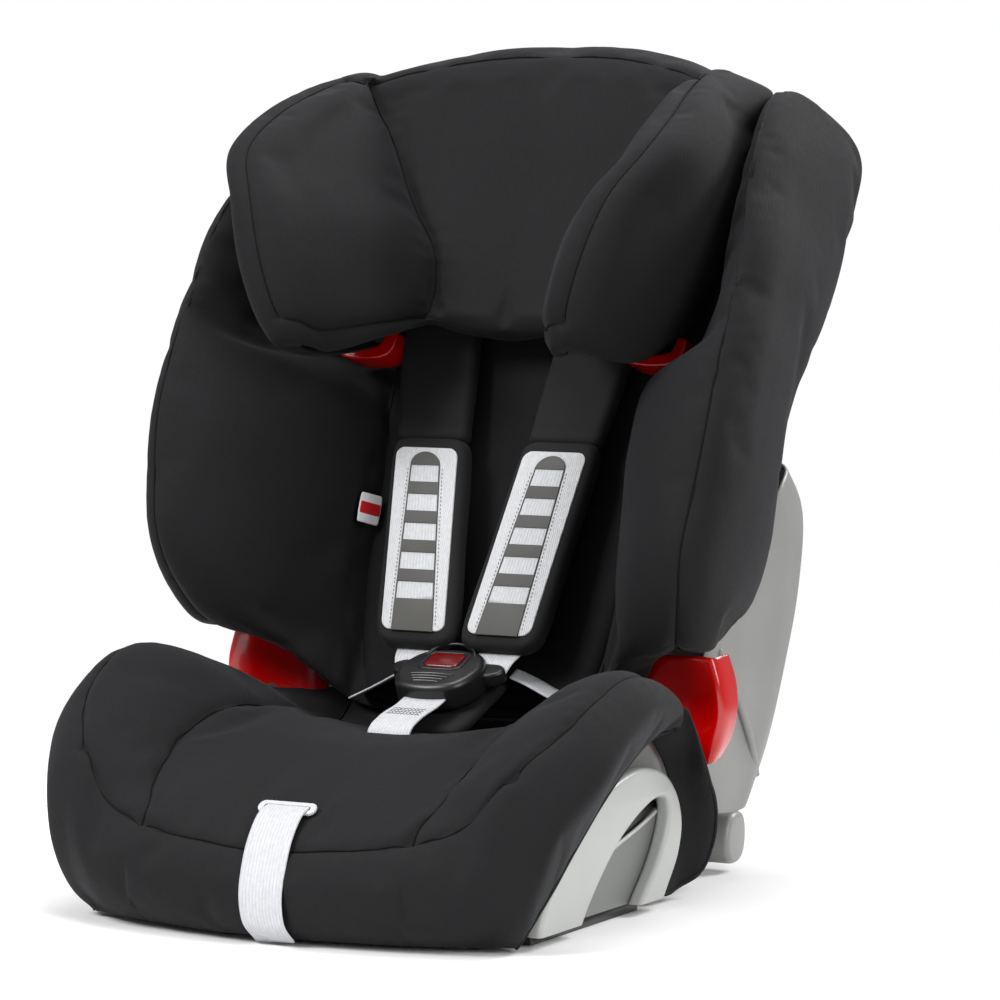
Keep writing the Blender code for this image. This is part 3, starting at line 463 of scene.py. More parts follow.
def loft(name, rings, closed=False):
    """Skin over rings of points; the ends are capped unless the rings themselves close up."""
    rings = np.asarray(rings, float)
    count, sides = rings.shape[:2]
    index = np.arange(count * sides).reshape(count, sides)
    upper = np.roll(index, -1, axis=0) if closed else index[1:]
    lower = index if closed else index[:-1]
    quads = np.stack([lower, np.roll(lower, -1, axis=1), np.roll(upper, -1, axis=1), upper], axis=-1)
    faces = quads.reshape(-1, 4).tolist()
    if not closed:
        faces += [index[0][::-1].tolist(), index[-1].tolist()]
    mesh = bpy.data.meshes.new(name)
    mesh.from_pydata(rings.reshape(-1, 3).tolist(), [], faces)
    along = np.linalg.norm(np.diff(rings.mean(axis=1), axis=0, prepend=rings[:1].mean(axis=1)), axis=1)
    along = along.cumsum()
    around = np.linalg.norm(rings[0] - rings[0][0], axis=1)
    uv = np.stack(np.broadcast_arrays(around[None, :], along[:, None]), axis=-1).reshape(-1, 2)
    write_uv(mesh, uv[vertex_of_loops(mesh)])
    bm = bmesh.new()
    bm.from_mesh(mesh)
    bmesh.ops.recalc_face_normals(bm, faces=bm.faces)
    bm.to_mesh(mesh)
    bm.free()
    return link(name, mesh)


def directions(path, closed=False):
    ahead = np.roll(path, -1, axis=0) - np.roll(path, 1, axis=0)
    if not closed:
        ahead[0], ahead[-1] = path[1] - path[0], path[-1] - path[-2]
    return ahead / np.linalg.norm(ahead, axis=1, keepdims=True)


def tube(name, path, radius, closed=False, sides=8, step=CORD_STEP):
    """Round cord along a smooth path."""
    path = curve_through(path, step, closed)
    ahead = directions(path, closed)
    helper = np.where(np.abs(ahead[:, 2:3]) < 0.9, (0.0, 0.0, 1.0), (1.0, 0.0, 0.0))
    first = np.cross(ahead, helper)
    first /= np.linalg.norm(first, axis=1, keepdims=True)
    second = np.cross(ahead, first)
    angles = np.arange(sides) * 2 * math.pi / sides
    rings = (path[:, None] + radius * (first[:, None] * np.cos(angles)[None, :, None]
                                       + second[:, None] * np.sin(angles)[None, :, None]))
    return loft(name, rings, closed)


def ribbon(name, path, width, thickness, across=SIDEWAYS):
    """Webbing with rolled edges; width may be one value or one for each point of the path."""
    path = np.asarray(path, float)
    width = np.broadcast_to(np.asarray(width, float), len(path))
    lengths = np.linalg.norm(np.diff(path, axis=0), axis=1)
    both = through(np.concatenate([path, width[:, None]], axis=1), marks_of(lengths, CORD_STEP))
    path, width = both[:, :3], both[:, 3]
    ahead = directions(path)
    side = np.asarray(across, float) - ahead * (ahead @ np.asarray(across, float))[:, None]
    side /= np.linalg.norm(side, axis=1, keepdims=True)
    lift = np.cross(side, ahead)
    section = [(-0.5, -0.2), (-0.47, -0.5), (-0.25, -0.5), (0.0, -0.5), (0.25, -0.5), (0.47, -0.5),
               (0.5, -0.2), (0.5, 0.2), (0.47, 0.5), (0.25, 0.5), (0.0, 0.5), (-0.25, 0.5),
               (-0.47, 0.5), (-0.5, 0.2)]
    rings = np.stack([path + side * (x * width)[:, None] + lift * (z * thickness) for x, z in section],
                     axis=1)
    obj = loft(name, rings)
    run = np.linalg.norm(np.diff(path, axis=0, prepend=path[:1]), axis=1).cumsum()
    flat = np.array([[(x * w, s) for x, _ in section] for w, s in zip(width, run)]).reshape(-1, 2)
    layer = obj.data.uv_layers["weave"]
    layer.data.foreach_set("uv", flat[vertex_of_loops(obj.data)].astype(np.float32).ravel())
    return obj


def slab(name, outline, low, high, matrix, bevel, segments=3, holes=()):
    """Flat piece from an outline in x and y, from z = low to high, with rounded edges."""
    curve = bpy.data.curves.new(name, "CURVE")
    curve.dimensions = "2D"
    curve.fill_mode = "BOTH"
    curve.extrude = (high - low) / 2 - bevel
    curve.bevel_depth = bevel
    curve.bevel_resolution = segments
    curve.offset = -bevel
    for ring in [outline, *holes]:
        line = curve.splines.new("POLY")
        line.points.add(len(ring) - 1)
        for point, (x, y) in zip(line.points, ring):
            point.co = (x, y, 0.0, 1.0)
        line.use_cyclic_u = True
    source = bpy.data.objects.new(name + "_outline", curve)
    bpy.context.scene.collection.objects.link(source)
    mesh = baked(source)
    bpy.data.objects.remove(source)
    bm = bmesh.new()
    bm.from_mesh(mesh)
    bmesh.ops.remove_doubles(bm, verts=bm.verts, dist=0.00002)
    bmesh.ops.translate(bm, verts=bm.verts, vec=(0, 0, (low + high) / 2))
    bmesh.ops.recalc_face_normals(bm, faces=bm.faces)
    bmesh.ops.transform(bm, matrix=matrix, verts=bm.verts)
    bm.to_mesh(mesh)
    bm.free()
    mesh.name = name
    obj = link(name, mesh)
    mesh.set_sharp_from_angle(angle=SHARP)
    return obj


def smooth_ring(outline, step=3 * MM):
    flat = [(x, y, 0.0) for x, y in outline]
    return [(p[0], p[1]) for p in curve_through(flat, step, closed=True)]


def rounded(width, height, radius, centre=(0.0, 0.0), top=None, steps=6):
    """Outline of a rectangle with round corners; top is its width at the upper end."""
    top = top or width
    outline = []
    for k, (sx, sy) in enumerate(((1, 1), (-1, 1), (-1, -1), (1, -1))):
        half = (top if sy > 0 else width) / 2
        cx, cy = sx * (half - radius), sy * (height / 2 - radius)
        for i in range(steps + 1):
            angle = math.pi / 2 * (k + i / steps)
            outline.append((centre[0] + cx + radius * math.cos(angle),
                            centre[1] + cy + radius * math.sin(angle)))
    return outline


def merge(name, objects):
    """Joins finished meshes into the first one."""
    bm = bmesh.new()
    for obj in objects:
        bm.from_mesh(obj.data)
    for obj in objects:
        bpy.data.objects.remove(obj)
    made = from_bmesh(name, bm)
    made.data.set_sharp_from_angle(angle=SHARP)
    return made


def apply_modifiers(obj):
    mesh = baked(obj)
    obj.modifiers.clear()
    obj.data = mesh
    mesh.shade_smooth()


def carve(obj, cutter):
    """Takes the cutter out of the object for good."""
    hole = obj.modifiers.new("cut", "BOOLEAN")
    hole.operation = "DIFFERENCE"
    hole.object = cutter
    apply_modifiers(obj)
    bpy.data.objects.remove(cutter)
    obj.data.set_sharp_from_angle(angle=SHARP)


def cushion_pad(name, rows, thickness, edge, matrix, flat=0.25, crown=0.0, channels=(), step=3 * MM):
    """Closed padded piece: rows are (height, centre, half width) up its length.

    Its front is rounded over edge near the outline, crowned in the middle, and pressed in along channels,
    given as (height, half depth of the groove). flat is the back's share of the thickness.
    """
    rows = np.asarray(rows, float)
    rows = through(rows, marks_of(np.linalg.norm(np.diff(rows, axis=0), axis=1), step))
    low, high = rows[0, 0], rows[-1, 0]
    count = max(8, round(2 * rows[:, 2].max() / step))
    spread_x = np.sin(np.linspace(-math.pi / 2, math.pi / 2, count + 1) * 0.999)
    x = rows[:, 1:2] + rows[:, 2:3] * spread_x[None, :]
    y = np.broadcast_to(rows[:, 0:1], x.shape)
    to_side = rows[:, 2:3] * (1 - np.abs(spread_x))[None, :]
    to_end = np.minimum(y - low, high - y)

    def shoulder(distance):
        return np.sqrt(np.clip(1 - (1 - np.clip(distance / edge, 0, 1)) ** 2, 0, 1))

    body = shoulder(to_side) * shoulder(to_end)
    across = 1 - (spread_x[None, :] ** 2)
    top = thickness * (1 - flat) * body + crown * across * body
    for height, depth in channels:
        top = top - depth * np.exp(-((y - height) / (1.6 * MM)) ** 2) * body
    bottom = -thickness * flat * body
    front = np.stack([x, y, top], axis=-1)
    rear = np.stack([x, y, bottom], axis=-1)
    n, m = x.shape
    index = np.arange(n * m).reshape(n, m)
    quads = np.stack([index[:-1, :-1], index[:-1, 1:], index[1:, 1:], index[1:, :-1]], axis=-1).reshape(-1, 4)
    faces = quads.tolist() + (quads[:, ::-1] + n * m).tolist()
    points = np.concatenate([front.reshape(-1, 3), rear.reshape(-1, 3)])
    mesh = bpy.data.meshes.new(name)
    mesh.from_pydata(points.tolist(), [], faces)
    bm = bmesh.new()
    bm.from_mesh(mesh)
    bmesh.ops.remove_doubles(bm, verts=bm.verts, dist=0.00008)
    bmesh.ops.recalc_face_normals(bm, faces=bm.faces)
    layer = bm.loops.layers.uv.new("weave")
    for face in bm.faces:
        for corner in face.loops:
            corner[layer].uv = (corner.vert.co.x, corner.vert.co.y)
    bmesh.ops.transform(bm, matrix=matrix, verts=bm.verts)
    bm.to_mesh(mesh)
    bm.free()
    obj = link(name, mesh)
    subdivide(obj)
    return obj


# ---------------------------------------------------------------- soft covers
PUFFED = []                  # (sheet, how far a point may move)
PUFF_FRAMES = 18
SEAM_DEPTH = 2.6 * MM


def puff_later(sheet, columns, rows, pressure, cap, slack=0.012):
    """Adds a cloth that swells the sheet between its borders and the given grid lines."""
    pinned = np.zeros(sheet.points.shape[:2], bool)
    pinned[[0, -1], :] = True
    pinned[:, [0, -1]] = True
    for column, low, high in columns:
        pinned[column, low:high + 1] = True
    for row, low, high in rows:
        pinned[low:high + 1, row] = True
    group = sheet.obj.vertex_groups.new(name="seams")
    group.add(np.flatnonzero(pinned.ravel()).tolist(), 1.0, "REPLACE")
    cloth = sheet.obj.modifiers.new("puff", "CLOTH")
    settings = cloth.settings
    settings.quality = 5
    settings.mass = 0.25
    settings.tension_stiffness = settings.compression_stiffness = 18
    settings.shear_stiffness = 8
    settings.bending_stiffness = 3
    settings.tension_damping = settings.compression_damping = 12
    settings.use_pressure = True
    settings.uniform_pressure_force = pressure
    settings.vertex_group_mass = "seams"
    settings.shrink_min = -slack
    settings.effector_weights.gravity = 0
    cloth.collision_settings.use_collision = False
    cloth.point_cache.frame_start = 1
    cloth.point_cache.frame_end = PUFF_FRAMES
    PUFFED.append((sheet, cap))


def run_puffs():
    """Steps every waiting cloth together, keeps the capped result and removes the simulation."""
    if not PUFFED:
        return
    scene = bpy.context.scene
    for number in range(1, PUFF_FRAMES + 1):
        scene.frame_set(number)
    graph = bpy.context.evaluated_depsgraph_get()
    results = []
    for sheet, _ in PUFFED:
        swollen = np.zeros(len(sheet.obj.data.vertices) * 3, np.float32)
        sheet.obj.evaluated_get(graph).data.vertices.foreach_get("co", swollen)
        results.append(swollen.reshape(sheet.points.shape))
    for (sheet, cap), swollen in zip(PUFFED, results):
        move = swollen - sheet.points
        length = np.linalg.norm(move, axis=2, keepdims=True)
        print("puffed", sheet.obj.name, "by up to %.1f mm" % (length.max() * 1000))
        sheet.points = sheet.points + move * np.minimum(1, cap / np.maximum(length, 1e-9))
        sheet.obj.modifiers.clear()
        sheet.obj.vertex_groups.clear()
        sheet.update()
    scene.frame_set(1)


def press(sheet, low, high, column=None, row=None, depth=SEAM_DEPTH, pucker=0.5 * MM, pitch=15 * MM):
    """Pulls a seam along a grid line into the padding, with small puckers beside it."""
    points = sheet.points if row is None else sheet.points.swapaxes(0, 1)
    normals = sheet.normals() if row is None else sheet.normals().swapaxes(0, 1)
    line = column if row is None else row
    seam = points[line, low:high + 1].copy()
    run = np.linalg.norm(np.diff(seam, axis=0, prepend=seam[:1]), axis=1).cumsum()
    wave = np.sin(run * 2 * math.pi / pitch + 1.3 * np.sin(run * 31)) * np.cos(run * 47)
    for k in range(max(0, line - 9), min(len(points), line + 10)):
        away = np.linalg.norm(points[k, low:high + 1] - seam, axis=1)
        groove = depth * np.exp(-(away / (2.6 * MM)) ** 2) + 0.5 * depth * np.exp(-(away / (9 * MM)) ** 2)
        ripple = pucker * wave * (away / (6 * MM)) * np.exp(1 - away / (6 * MM))
        points[k, low:high + 1] += normals[k, low:high + 1] * (ripple - groove)[:, None]


def press_seams(sheet, columns, rows=(), row_depth=SEAM_DEPTH):
    """Presses seams in; a seam is (grid line, its first point, its last point)."""
    for column, low, high in columns:
        press(sheet, column=column, low=low, high=high)
    for row, low, high in rows:
        press(sheet, row=row, low=low, high=high, depth=row_depth)


def draw_seam_shade(sheet, name, body, columns, rows):
    """Draws painted shade into the seams, as fine dark lines."""
    paths = [seam_path(sheet, column=line, low=low, high=high, lift=1.0 * MM) for line, low, high in columns]
    paths += [seam_path(sheet, row=line, low=low, high=high, lift=1.0 * MM) for line, low, high in rows]
    pieces = [tube("seam", path[::2], 0.60 * MM, sides=6, step=5 * MM) for path in paths]
    dress(merge(name, pieces), "seam", body)


def close_cover(sheet, body, node, seams, columns, rows=()):
    """Draws painted shade along a shaped cover's seams, and gives it its thickness and its cloth."""
    sheet.update()
    draw_seam_shade(sheet, seams, body, columns, rows)
    thicken(sheet.obj)
    dress(sheet.obj, "cover", body, [node])


def rumple(sheet, amount=0.7 * MM, size=0.05):
    """Slight unevenness, as padding under tight fabric has."""
    normals = sheet.normals()
    flat = sheet.points.reshape(-1, 3)
    lift = np.array([noise.noise(Vector(p) / size) + 0.4 * noise.noise(Vector(p) / (size * 0.4))
                     for p in flat.tolist()]).reshape(sheet.points.shape[:2], order="C")
    sheet.points = sheet.points + normals * (lift * amount)[..., None]


def seam_path(sheet, column=None, row=None, low=0, high=None, lift=0.0):
    """Points along a grid line, lifted off the surface."""
    normals = sheet.normals()
    high = sheet.points.shape[0 if column is None else 1] - 1 if high is None else high
    if column is None:
        return sheet.points[low:high + 1, row] + normals[low:high + 1, row] * lift
    return sheet.points[column, low:high + 1] + normals[column, low:high + 1] * lift


# ---------------------------------------------------------------- headrest
# Each row: the centre, the inner seam, the rim's apex with its radius, the outer side and the rear
# edge, all in the backrest's frame. From the underside, up the front, over the top.
HEADREST_ROWS = [
    # centre          inner seam            rim apex               radius  outer side           rear edge
    ((.060, .300), (.058, .088, .302), (.121, .186, .249), .010, (.132, .120, .262), (.118, .060, .290)),
    ((.068, .293), (.060, .098, .296), (.124, .207, .244), .020, (.146, .130, .257), (.130, .062, .288)),
    ((.086, .294), (.061, .106, .300), (.1285, .2285, .257), .027, (.160, .138, .268), (.140, .062, .294)),
    ((.087, .315), (.063, .101, .320), (.1425, .2480, .298), .031, (.179, .140, .302), (.157, .060, .308)),
    ((.084, .362), (.069, .101, .358), (.1605, .253, .354), .031, (.195, .140, .352), (.174, .058, .348)),
    ((.080, .418), (.094, .102, .398), (.180, .2375, .400), .031, (.203, .130, .398), (.180, .056, .394)),
    ((.078, .470), (.126, .105, .461), (.1800, .199, .446), .028, (.2015, .112, .446), (.181, .055, .444)),
    ((.0765, .510), (.142, .106, .484), (.1720, .166, .476), .022, (.2015, .096, .478), (.182, .052, .478)),
    ((.075, .541), (.152, .108, .506), (.1640, .130, .501), .010, (.2000, .078, .500), (.186, .045, .500)),
    ((.058, .555), (.150, .083, .521), (.1640, .094, .518), .006, (.1940, .062, .512), (.183, .040, .509)),
    ((.036, .552), (.146, .050, .522), (.1620, .060, .518), .004, (.1840, .046, .512), (.174, .034, .509)),
]
HEADREST_INNER_SEAM = 3      # column numbers
HEADREST_RIM_SEAM = 7
HEADREST_TOP_SEAM = 8        # row numbers
HEADREST_BOTTOM_SEAM = 2


def headrest_column_points(row):
    """Points of one row of the right half, from the centre to the rear edge."""
    (centre_v, centre_w), seam, apex, radius, outer, rear = row
    seam, apex, outer, rear = (np.array(p) for p in (seam, apex, outer, rear))
    centre = np.array((0.0, centre_v, centre_w))
    core = apex - (0, radius, 0)
    inner_tangent = core + (-radius, 0, 0)
    outer_tangent = core + (radius, 0, 0)
    inward = inner_tangent - seam
    bulge = np.array((-inward[1], inward[0], 0.0)) * 0.085
    diagonal = radius * math.sqrt(0.5)
    dip = seam - centre
    return [centre, centre + dip * (0.40, 0.22, 0.14), centre + dip * (0.80, 0.62, 0.60), seam,
            (seam + inner_tangent) / 2 + bulge, inner_tangent, core + (-diagonal, diagonal, 0), apex,
            core + (diagonal, diagonal, 0), outer_tangent, outer, rear]


def make_headrest_pad():
    rows = [[back(*p) for p in headrest_column_points(row)] for row in HEADREST_ROWS]
    columns = np.array(rows).swapaxes(0, 1)
    pad = Sheet(columns, 5 * MM, (HEADREST_INNER_SEAM, HEADREST_RIM_SEAM),
                (HEADREST_BOTTOM_SEAM, HEADREST_TOP_SEAM), mirror=True)
    pad.build("headrest_pad", (0, -1, 0))
    top, bottom = pad.row(HEADREST_TOP_SEAM), pad.row(HEADREST_BOTTOM_SEAM)
    columns = [(pad.column(c, s), bottom, top) for c in (HEADREST_INNER_SEAM, HEADREST_RIM_SEAM)
               for s in (-1, 1)]
    rim = [pad.column(HEADREST_RIM_SEAM, s) for s in (-1, 1)]
    inner = [pad.column(HEADREST_INNER_SEAM, s) for s in (-1, 1)]
    rows = [(top, rim[0], rim[1]), (bottom, rim[0], inner[0]), (bottom, inner[1], rim[1])]
    puff_later(pad, columns, rows, 3.2, 4 * MM, 0.006)
    return pad, columns, rows


def finish_headrest_pad(pad, columns, rows):
    rumple(pad, 0.5 * MM, 0.06)
    press_seams(pad, columns, rows, 2.2 * MM)
    close_cover(pad, "headrest", "headrest_cover", "headrest_seam_shade", columns, rows)


# ---------------------------------------------------------------- backrest cover
# Each row of the right half, from the centre out: (u, v, w).
BACK_ROWS = [
    [(0, .006, -.004), (.080, .006, -.004), (.112, .008, 0), (.140, .020, .008), (.158, .045, .020),
     (.170, .062, .028), (.182, .078, .031), (.194, .090, .032), (.207, .100, .033), (.212, .100, .034),
     (.209, .092, .036), (.203, .082, .038), (.195, .073, .040), (.187, .065, .043), (.180, .058, .046)],
    [(0, .028, -.012), (.080, .028, -.012), (.112, .030, -.008), (.124, .045, 0), (.139, .072, .012),
     (.155, .093, .022), (.175, .108, .026), (.197, .116, .029), (.215, .119, .032), (.225, .112, .034),
     (.230, .098, .036), (.229, .083, .040), (.223, .072, .045), (.217, .064, .050), (.206, .058, .055)],
    [(0, .028, .040), (.080, .028, .040), (.113, .029, .040), (.125, .046, .042), (.141, .082, .046),
     (.158, .113, .050), (.180, .138, .052), (.206, .152, .054), (.229, .157, .056), (.241, .142, .057),
     (.243, .118, .058), (.240, .088, .062), (.232, .058, .066), (.226, .044, .070), (.212, .034, .074)],
    [(0, .028, .091), (.080, .028, .091), (.114, .029, .091), (.126, .048, .091), (.142, .091, .091),
     (.159, .126, .091), (.183, .156, .091), (.212, .175, .091), (.237, .183, .091), (.250, .166, .091),
     (.252, .128, .091), (.247, .082, .092), (.238, .044, .094), (.231, .026, .096), (.217, .014, .098)],
    [(0, .028, .140), (.080, .028, .140), (.114, .029, .140), (.126, .049, .140), (.141, .096, .140),
     (.158, .133, .140), (.183, .163, .140), (.214, .184, .140), (.244, .192, .140), (.2575, .173, .140),
     (.258, .128, .140), (.252, .076, .140), (.243, .038, .140), (.235, .021, .141), (.221, .008, .142)],
    [(0, .028, .190), (.080, .028, .190), (.114, .029, .190), (.126, .049, .190), (.141, .098, .190),
     (.158, .137, .190), (.184, .167, .190), (.216, .187, .190), (.248, .196, .190), (.2605, .177, .190),
     (.260, .128, .190), (.253, .072, .190), (.244, .036, .190), (.2365, .020, .190), (.222, .006, .190)],
    [(0, .028, .238), (.080, .028, .238), (.116, .029, .238), (.130, .048, .238), (.146, .095, .240),
     (.164, .132, .242), (.189, .160, .242), (.219, .182, .242), (.248, .192, .242), (.2605, .173, .240),
     (.260, .125, .240), (.253, .070, .239), (.244, .034, .238), (.237, .018, .238), (.222, .004, .238)],
    [(0, .022, .268), (.080, .022, .268), (.124, .024, .268), (.156, .040, .268), (.178, .084, .268),
     (.193, .118, .268), (.207, .145, .268), (.226, .171, .270), (.248, .187, .272), (.260, .169, .272),
     (.260, .120, .271), (.253, .064, .269), (.2445, .028, .268), (.237, .012, .268), (.222, -.002, .268)],
    [(0, .0075, .300), (.080, .0075, .300), (.150, .0085, .300), (.190, .024, .300), (.202, .062, .300),
     (.208, .097, .300), (.213, .127, .300), (.225, .156, .302), (.2455, .181, .304), (.2575, .163, .304),
     (.2575, .112, .303), (.251, .054, .301), (.244, .014, .300), (.237, -.002, .300), (.222, -.014, .300)],
    [(0, .0075, .350), (.080, .0075, .350), (.150, .0075, .350), (.195, .020, .350), (.2065, .060, .350),
     (.211, .095, .350), (.214, .122, .350), (.223, .148, .352), (.241, .1715, .354), (.2535, .154, .354),
     (.255, .102, .353), (.251, .040, .351), (.2455, -.003, .350), (.239, -.018, .350), (.223, -.030, .350)],
    [(0, .0075, .400), (.080, .0075, .400), (.150, .0075, .400), (.196, .020, .400), (.2075, .056, .400),
     (.2115, .088, .400), (.2135, .112, .401), (.2190, .135, .403), (.231, .156, .405), (.2425, .142, .405),
     (.2455, .090, .404), (.2465, .026, .402), (.245, -.014, .400), (.240, -.028, .400), (.224, -.042, .400)],
    [(0, .0075, .446), (.080, .0075, .446), (.150, .0075, .446), (.195, .016, .446), (.2055, .046, .446),
     (.209, .074, .447), (.2105, .095, .448), (.2145, .114, .450), (.223, .134, .452), (.233, .121, .452),
     (.238, .074, .451), (.2415, .014, .449), (.2425, -.024, .447), (.240, -.037, .446), (.224, -.050, .446)],
    [(0, .004, .488), (.080, .004, .488), (.150, .003, .488), (.190, .010, .490), (.199, .032, .492),
     (.204, .056, .493), (.2055, .074, .494), (.2080, .088, .495), (.213, .098, .496), (.221, .090, .496),
     (.227, .055, .495), (.2325, .004, .492), (.235, -.030, .489), (.235, -.044, .487), (.222, -.054, .486)],
    [(0, -.004, .504), (.080, -.004, .504), (.150, -.006, .505), (.186, .002, .508), (.193, .016, .511),
     (.196, .030, .512), (.198, .043, .513), (.2010, .054, .513), (.206, .062, .513), (.213, .056, .513),
     (.219, .034, .513), (.225, .000, .510), (.229, -.024, .505), (.2275, -.042, .500), (.217, -.051, .497)],
    [(0, -.014, .508), (.080, -.014, .508), (.150, -.018, .509), (.184, -.016, .513), (.193, -.002, .516),
     (.197, .012, .517), (.200, .026, .518), (.203, .037, .518), (.206, .041, .518), (.208, .036, .518),
     (.210, .018, .517), (.211, -.005, .515), (.211, -.022, .510), (.209, -.035, .504), (.204, -.044, .500)],
]
BACK_WING_SEAM = 8           # column numbers
BACK_BOLSTER_SEAM = 3
BACK_BOTTOM, BACK_BAY, BACK_TOP = 1, 8, 13   # row numbers


def make_backrest_cover():
    rows = [[back(*p) for p in row] for row in BACK_ROWS]
    cover = Sheet(np.array(rows).swapaxes(0, 1), GRID, (BACK_WING_SEAM,), (BACK_BOTTOM, BACK_TOP),
                  mirror=True)
    cover.build("backrest_cover", (0, -1, 0))
    columns = [(cover.column(BACK_WING_SEAM, s), 0, cover.row(BACK_TOP)) for s in (-1, 1)]
    columns += [(cover.column(BACK_BOLSTER_SEAM, s), 0, cover.row(BACK_BAY)) for s in (-1, 1)]
    middle_columns = (cover.column(2, -1), cover.column(2, 1))
    rows = [(row, 0, cover.points.shape[0] - 1) for row in (cover.row(BACK_BOTTOM), cover.row(BACK_TOP))]
    hidden = [(row, *middle_columns) for row in range(cover.row(BACK_BAY), cover.points.shape[1])]
    puff_later(cover, columns, rows + hidden, 4.5, 5 * MM)
    return cover, columns[:2]


def finish_backrest_cover(cover, seams):
    rumple(cover, 0.6 * MM, 0.07)
    press_seams(cover, seams)
    close_cover(cover, "seat", "back_cover", "backrest_seam_shade", seams)


# ---------------------------------------------------------------- comfort insert
INSERT_EDGE = [(-.008, .094), (.007, .103), (.060, .115), (.123, .1225), (.196, .1255), (.240, .1245),
               (.290, .122), (.335, .118)]
INSERT_FACE = 0.0365         # forward of the backrest plane, at the piped edge


def make_insert():
    rows = [(w, 0.0, half) for w, half in INSERT_EDGE]
    matrix = place(back(0, INSERT_FACE - 0.006, 0), SIDEWAYS, BACK_UP)
    pad = cushion_pad("comfort_insert_pad", rows, 0.012, 0.012, matrix, flat=0.35, crown=0.003, step=4 * MM)
    dress(pad, "insert", "seat", ["comfort_insert"])
    edge = [back(s * (half + 0.001), INSERT_FACE - 0.004, w) for s, order in ((-1, -1), (1, 1))
            for w, half in INSERT_EDGE[::order]]
    piping = tube("comfort_insert_piping", edge, 1.9 * MM, closed=True)
    dress(piping, "piping", "seat")


# ---------------------------------------------------------------- seat cushion
# Columns from the centre to the side's lower edge; each runs from the rear, over the front, down the nose.
CUSHION_COLUMNS = [
    [(0, .126, .152), (0, .098, .116), (0, .020, .124), (0, -.060, .134), (0, -.138, .127), (0, -.192, .104),
     (0, -.235, .072), (0, -.250, .047), (0, -.246, .021), (0, -.226, .003)],
    [(.066, .126, .152), (.066, .098, .118), (.066, .020, .127), (.066, -.060, .138), (.066, -.137, .130),
     (.066, -.188, .107), (.064, -.231, .076), (.064, -.247, .049), (.063, -.242, .022), (.060, -.222, .003)],
    [(.122, .122, .152), (.124, .090, .125), (.128, .015, .144), (.130, -.070, .155), (.131, -.134, .140),
     (.127, -.176, .118), (.118, -.221, .083), (.120, -.239, .053), (.119, -.232, .023), (.114, -.210, .003)],
    [(.158, .100, .150), (.164, .062, .148), (.176, .010, .173), (.180, -.070, .190), (.181, -.128, .176),
     (.172, -.170, .149), (.155, -.210, .096), (.160, -.228, .058), (.156, -.221, .024), (.148, -.200, .003)],
    [(.187, .056, .151), (.194, .044, .154), (.211, .004, .180), (.224, -.070, .198), (.221, -.116, .186),
     (.213, -.152, .166), (.190, -.193, .132), (.191, -.211, .070), (.180, -.208, .028), (.168, -.193, .003)],
    [(.199, .062, .142), (.207, .054, .143), (.227, .016, .163), (.244, -.060, .173), (.246, -.112, .153),
     (.243, -.148, .130), (.226, -.184, .094), (.212, -.198, .056), (.195, -.199, .024), (.178, -.189, .003)],
    [(.199, .066, .142), (.204, .056, .143), (.214, .020, .149), (.224, -.036, .146), (.226, -.088, .129),
     (.224, -.126, .102), (.216, -.160, .070), (.206, -.178, .039), (.197, -.186, .017), (.184, -.184, .003)],
    [(.195, .068, .138), (.198, .056, .1395), (.2005, .018, .1385), (.202, -.034, .1205),
     (.202, -.084, .0925), (.2015, -.124, .0645), (.200, -.152, .042), (.196, -.169, .025),
     (.191, -.178, .012), (.185, -.180, .003)],
    [(.191, .066, .134), (.194, .054, .1355), (.1965, .016, .1345), (.198, -.034, .1165),
     (.198, -.081, .0885), (.1975, -.120, .0615), (.196, -.147, .040), (.192, -.164, .024),
     (.187, -.172, .011), (.181, -.174, .003)],
]
CUSHION_INNER_SEAM, CUSHION_OUTER_SEAM, CUSHION_PIPED = 2, 4, 7
CUSHION_FRONT_SEAM = 6


def make_cushion_cover():
    cover = Sheet(CUSHION_COLUMNS, GRID, (CUSHION_INNER_SEAM, CUSHION_OUTER_SEAM), (CUSHION_FRONT_SEAM,),
                  mirror=True)
    cover.build("cushion_cover", (0, 0, 1))
    front = cover.row(CUSHION_FRONT_SEAM)
    columns = [(cover.column(c, s), 0, front) for c in (CUSHION_INNER_SEAM, CUSHION_OUTER_SEAM)
               for s in (-1, 1)]
    outer = [cover.column(CUSHION_OUTER_SEAM, s) for s in (-1, 1)]
    rows = [(front, outer[0], outer[1])]
    end = cover.points.shape[1] - 1
    piped = [(cover.column(CUSHION_PIPED, s), 0, end) for s in (-1, 1)]
    puff_later(cover, columns + piped, rows, 4.5, 5 * MM)
    return cover, columns, rows


def finish_cushion_cover(cover, columns, rows):
    rumple(cover, 0.6 * MM, 0.07)
    press_seams(cover, columns, rows)
    slot_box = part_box("crotch_anchor")
    crotch_y = (slot_box[0].y + slot_box[1].y) / 2 + 0.001
    press_slot(cover, (0, crotch_y, 0.137), 0.024, 0.006, 7 * MM)
    press_slot(cover, (.004, ADJUSTER_SLOT[0], ADJUSTER_SLOT[1]), 0.022, 0.004, 4 * MM)
    close_cover(cover, "seat", "seat_cushion", "cushion_seams", columns, rows)
    for side, label in SIDES:
        edge = seam_path(cover, column=cover.column(CUSHION_PIPED, side), low=2)[::3]
        piping = tube("cushion_piping_" + label, edge, 1.7 * MM)
        dress(piping, "piping", "seat")


def press_slot(sheet, centre, half_width, half_depth, depth):
    """Sinks the cover around a slot that webbing passes through."""
    away = sheet.points - np.array(centre)
    reach_x = np.clip(np.abs(away[..., 0]) / half_width, 0, 3)
    reach_y = np.linalg.norm(away[..., 1:], axis=-1) / half_depth
    sink = depth * np.exp(-reach_x ** 6) * np.exp(-reach_y ** 2)
    sheet.points = sheet.points - sheet.normals() * sink[..., None]


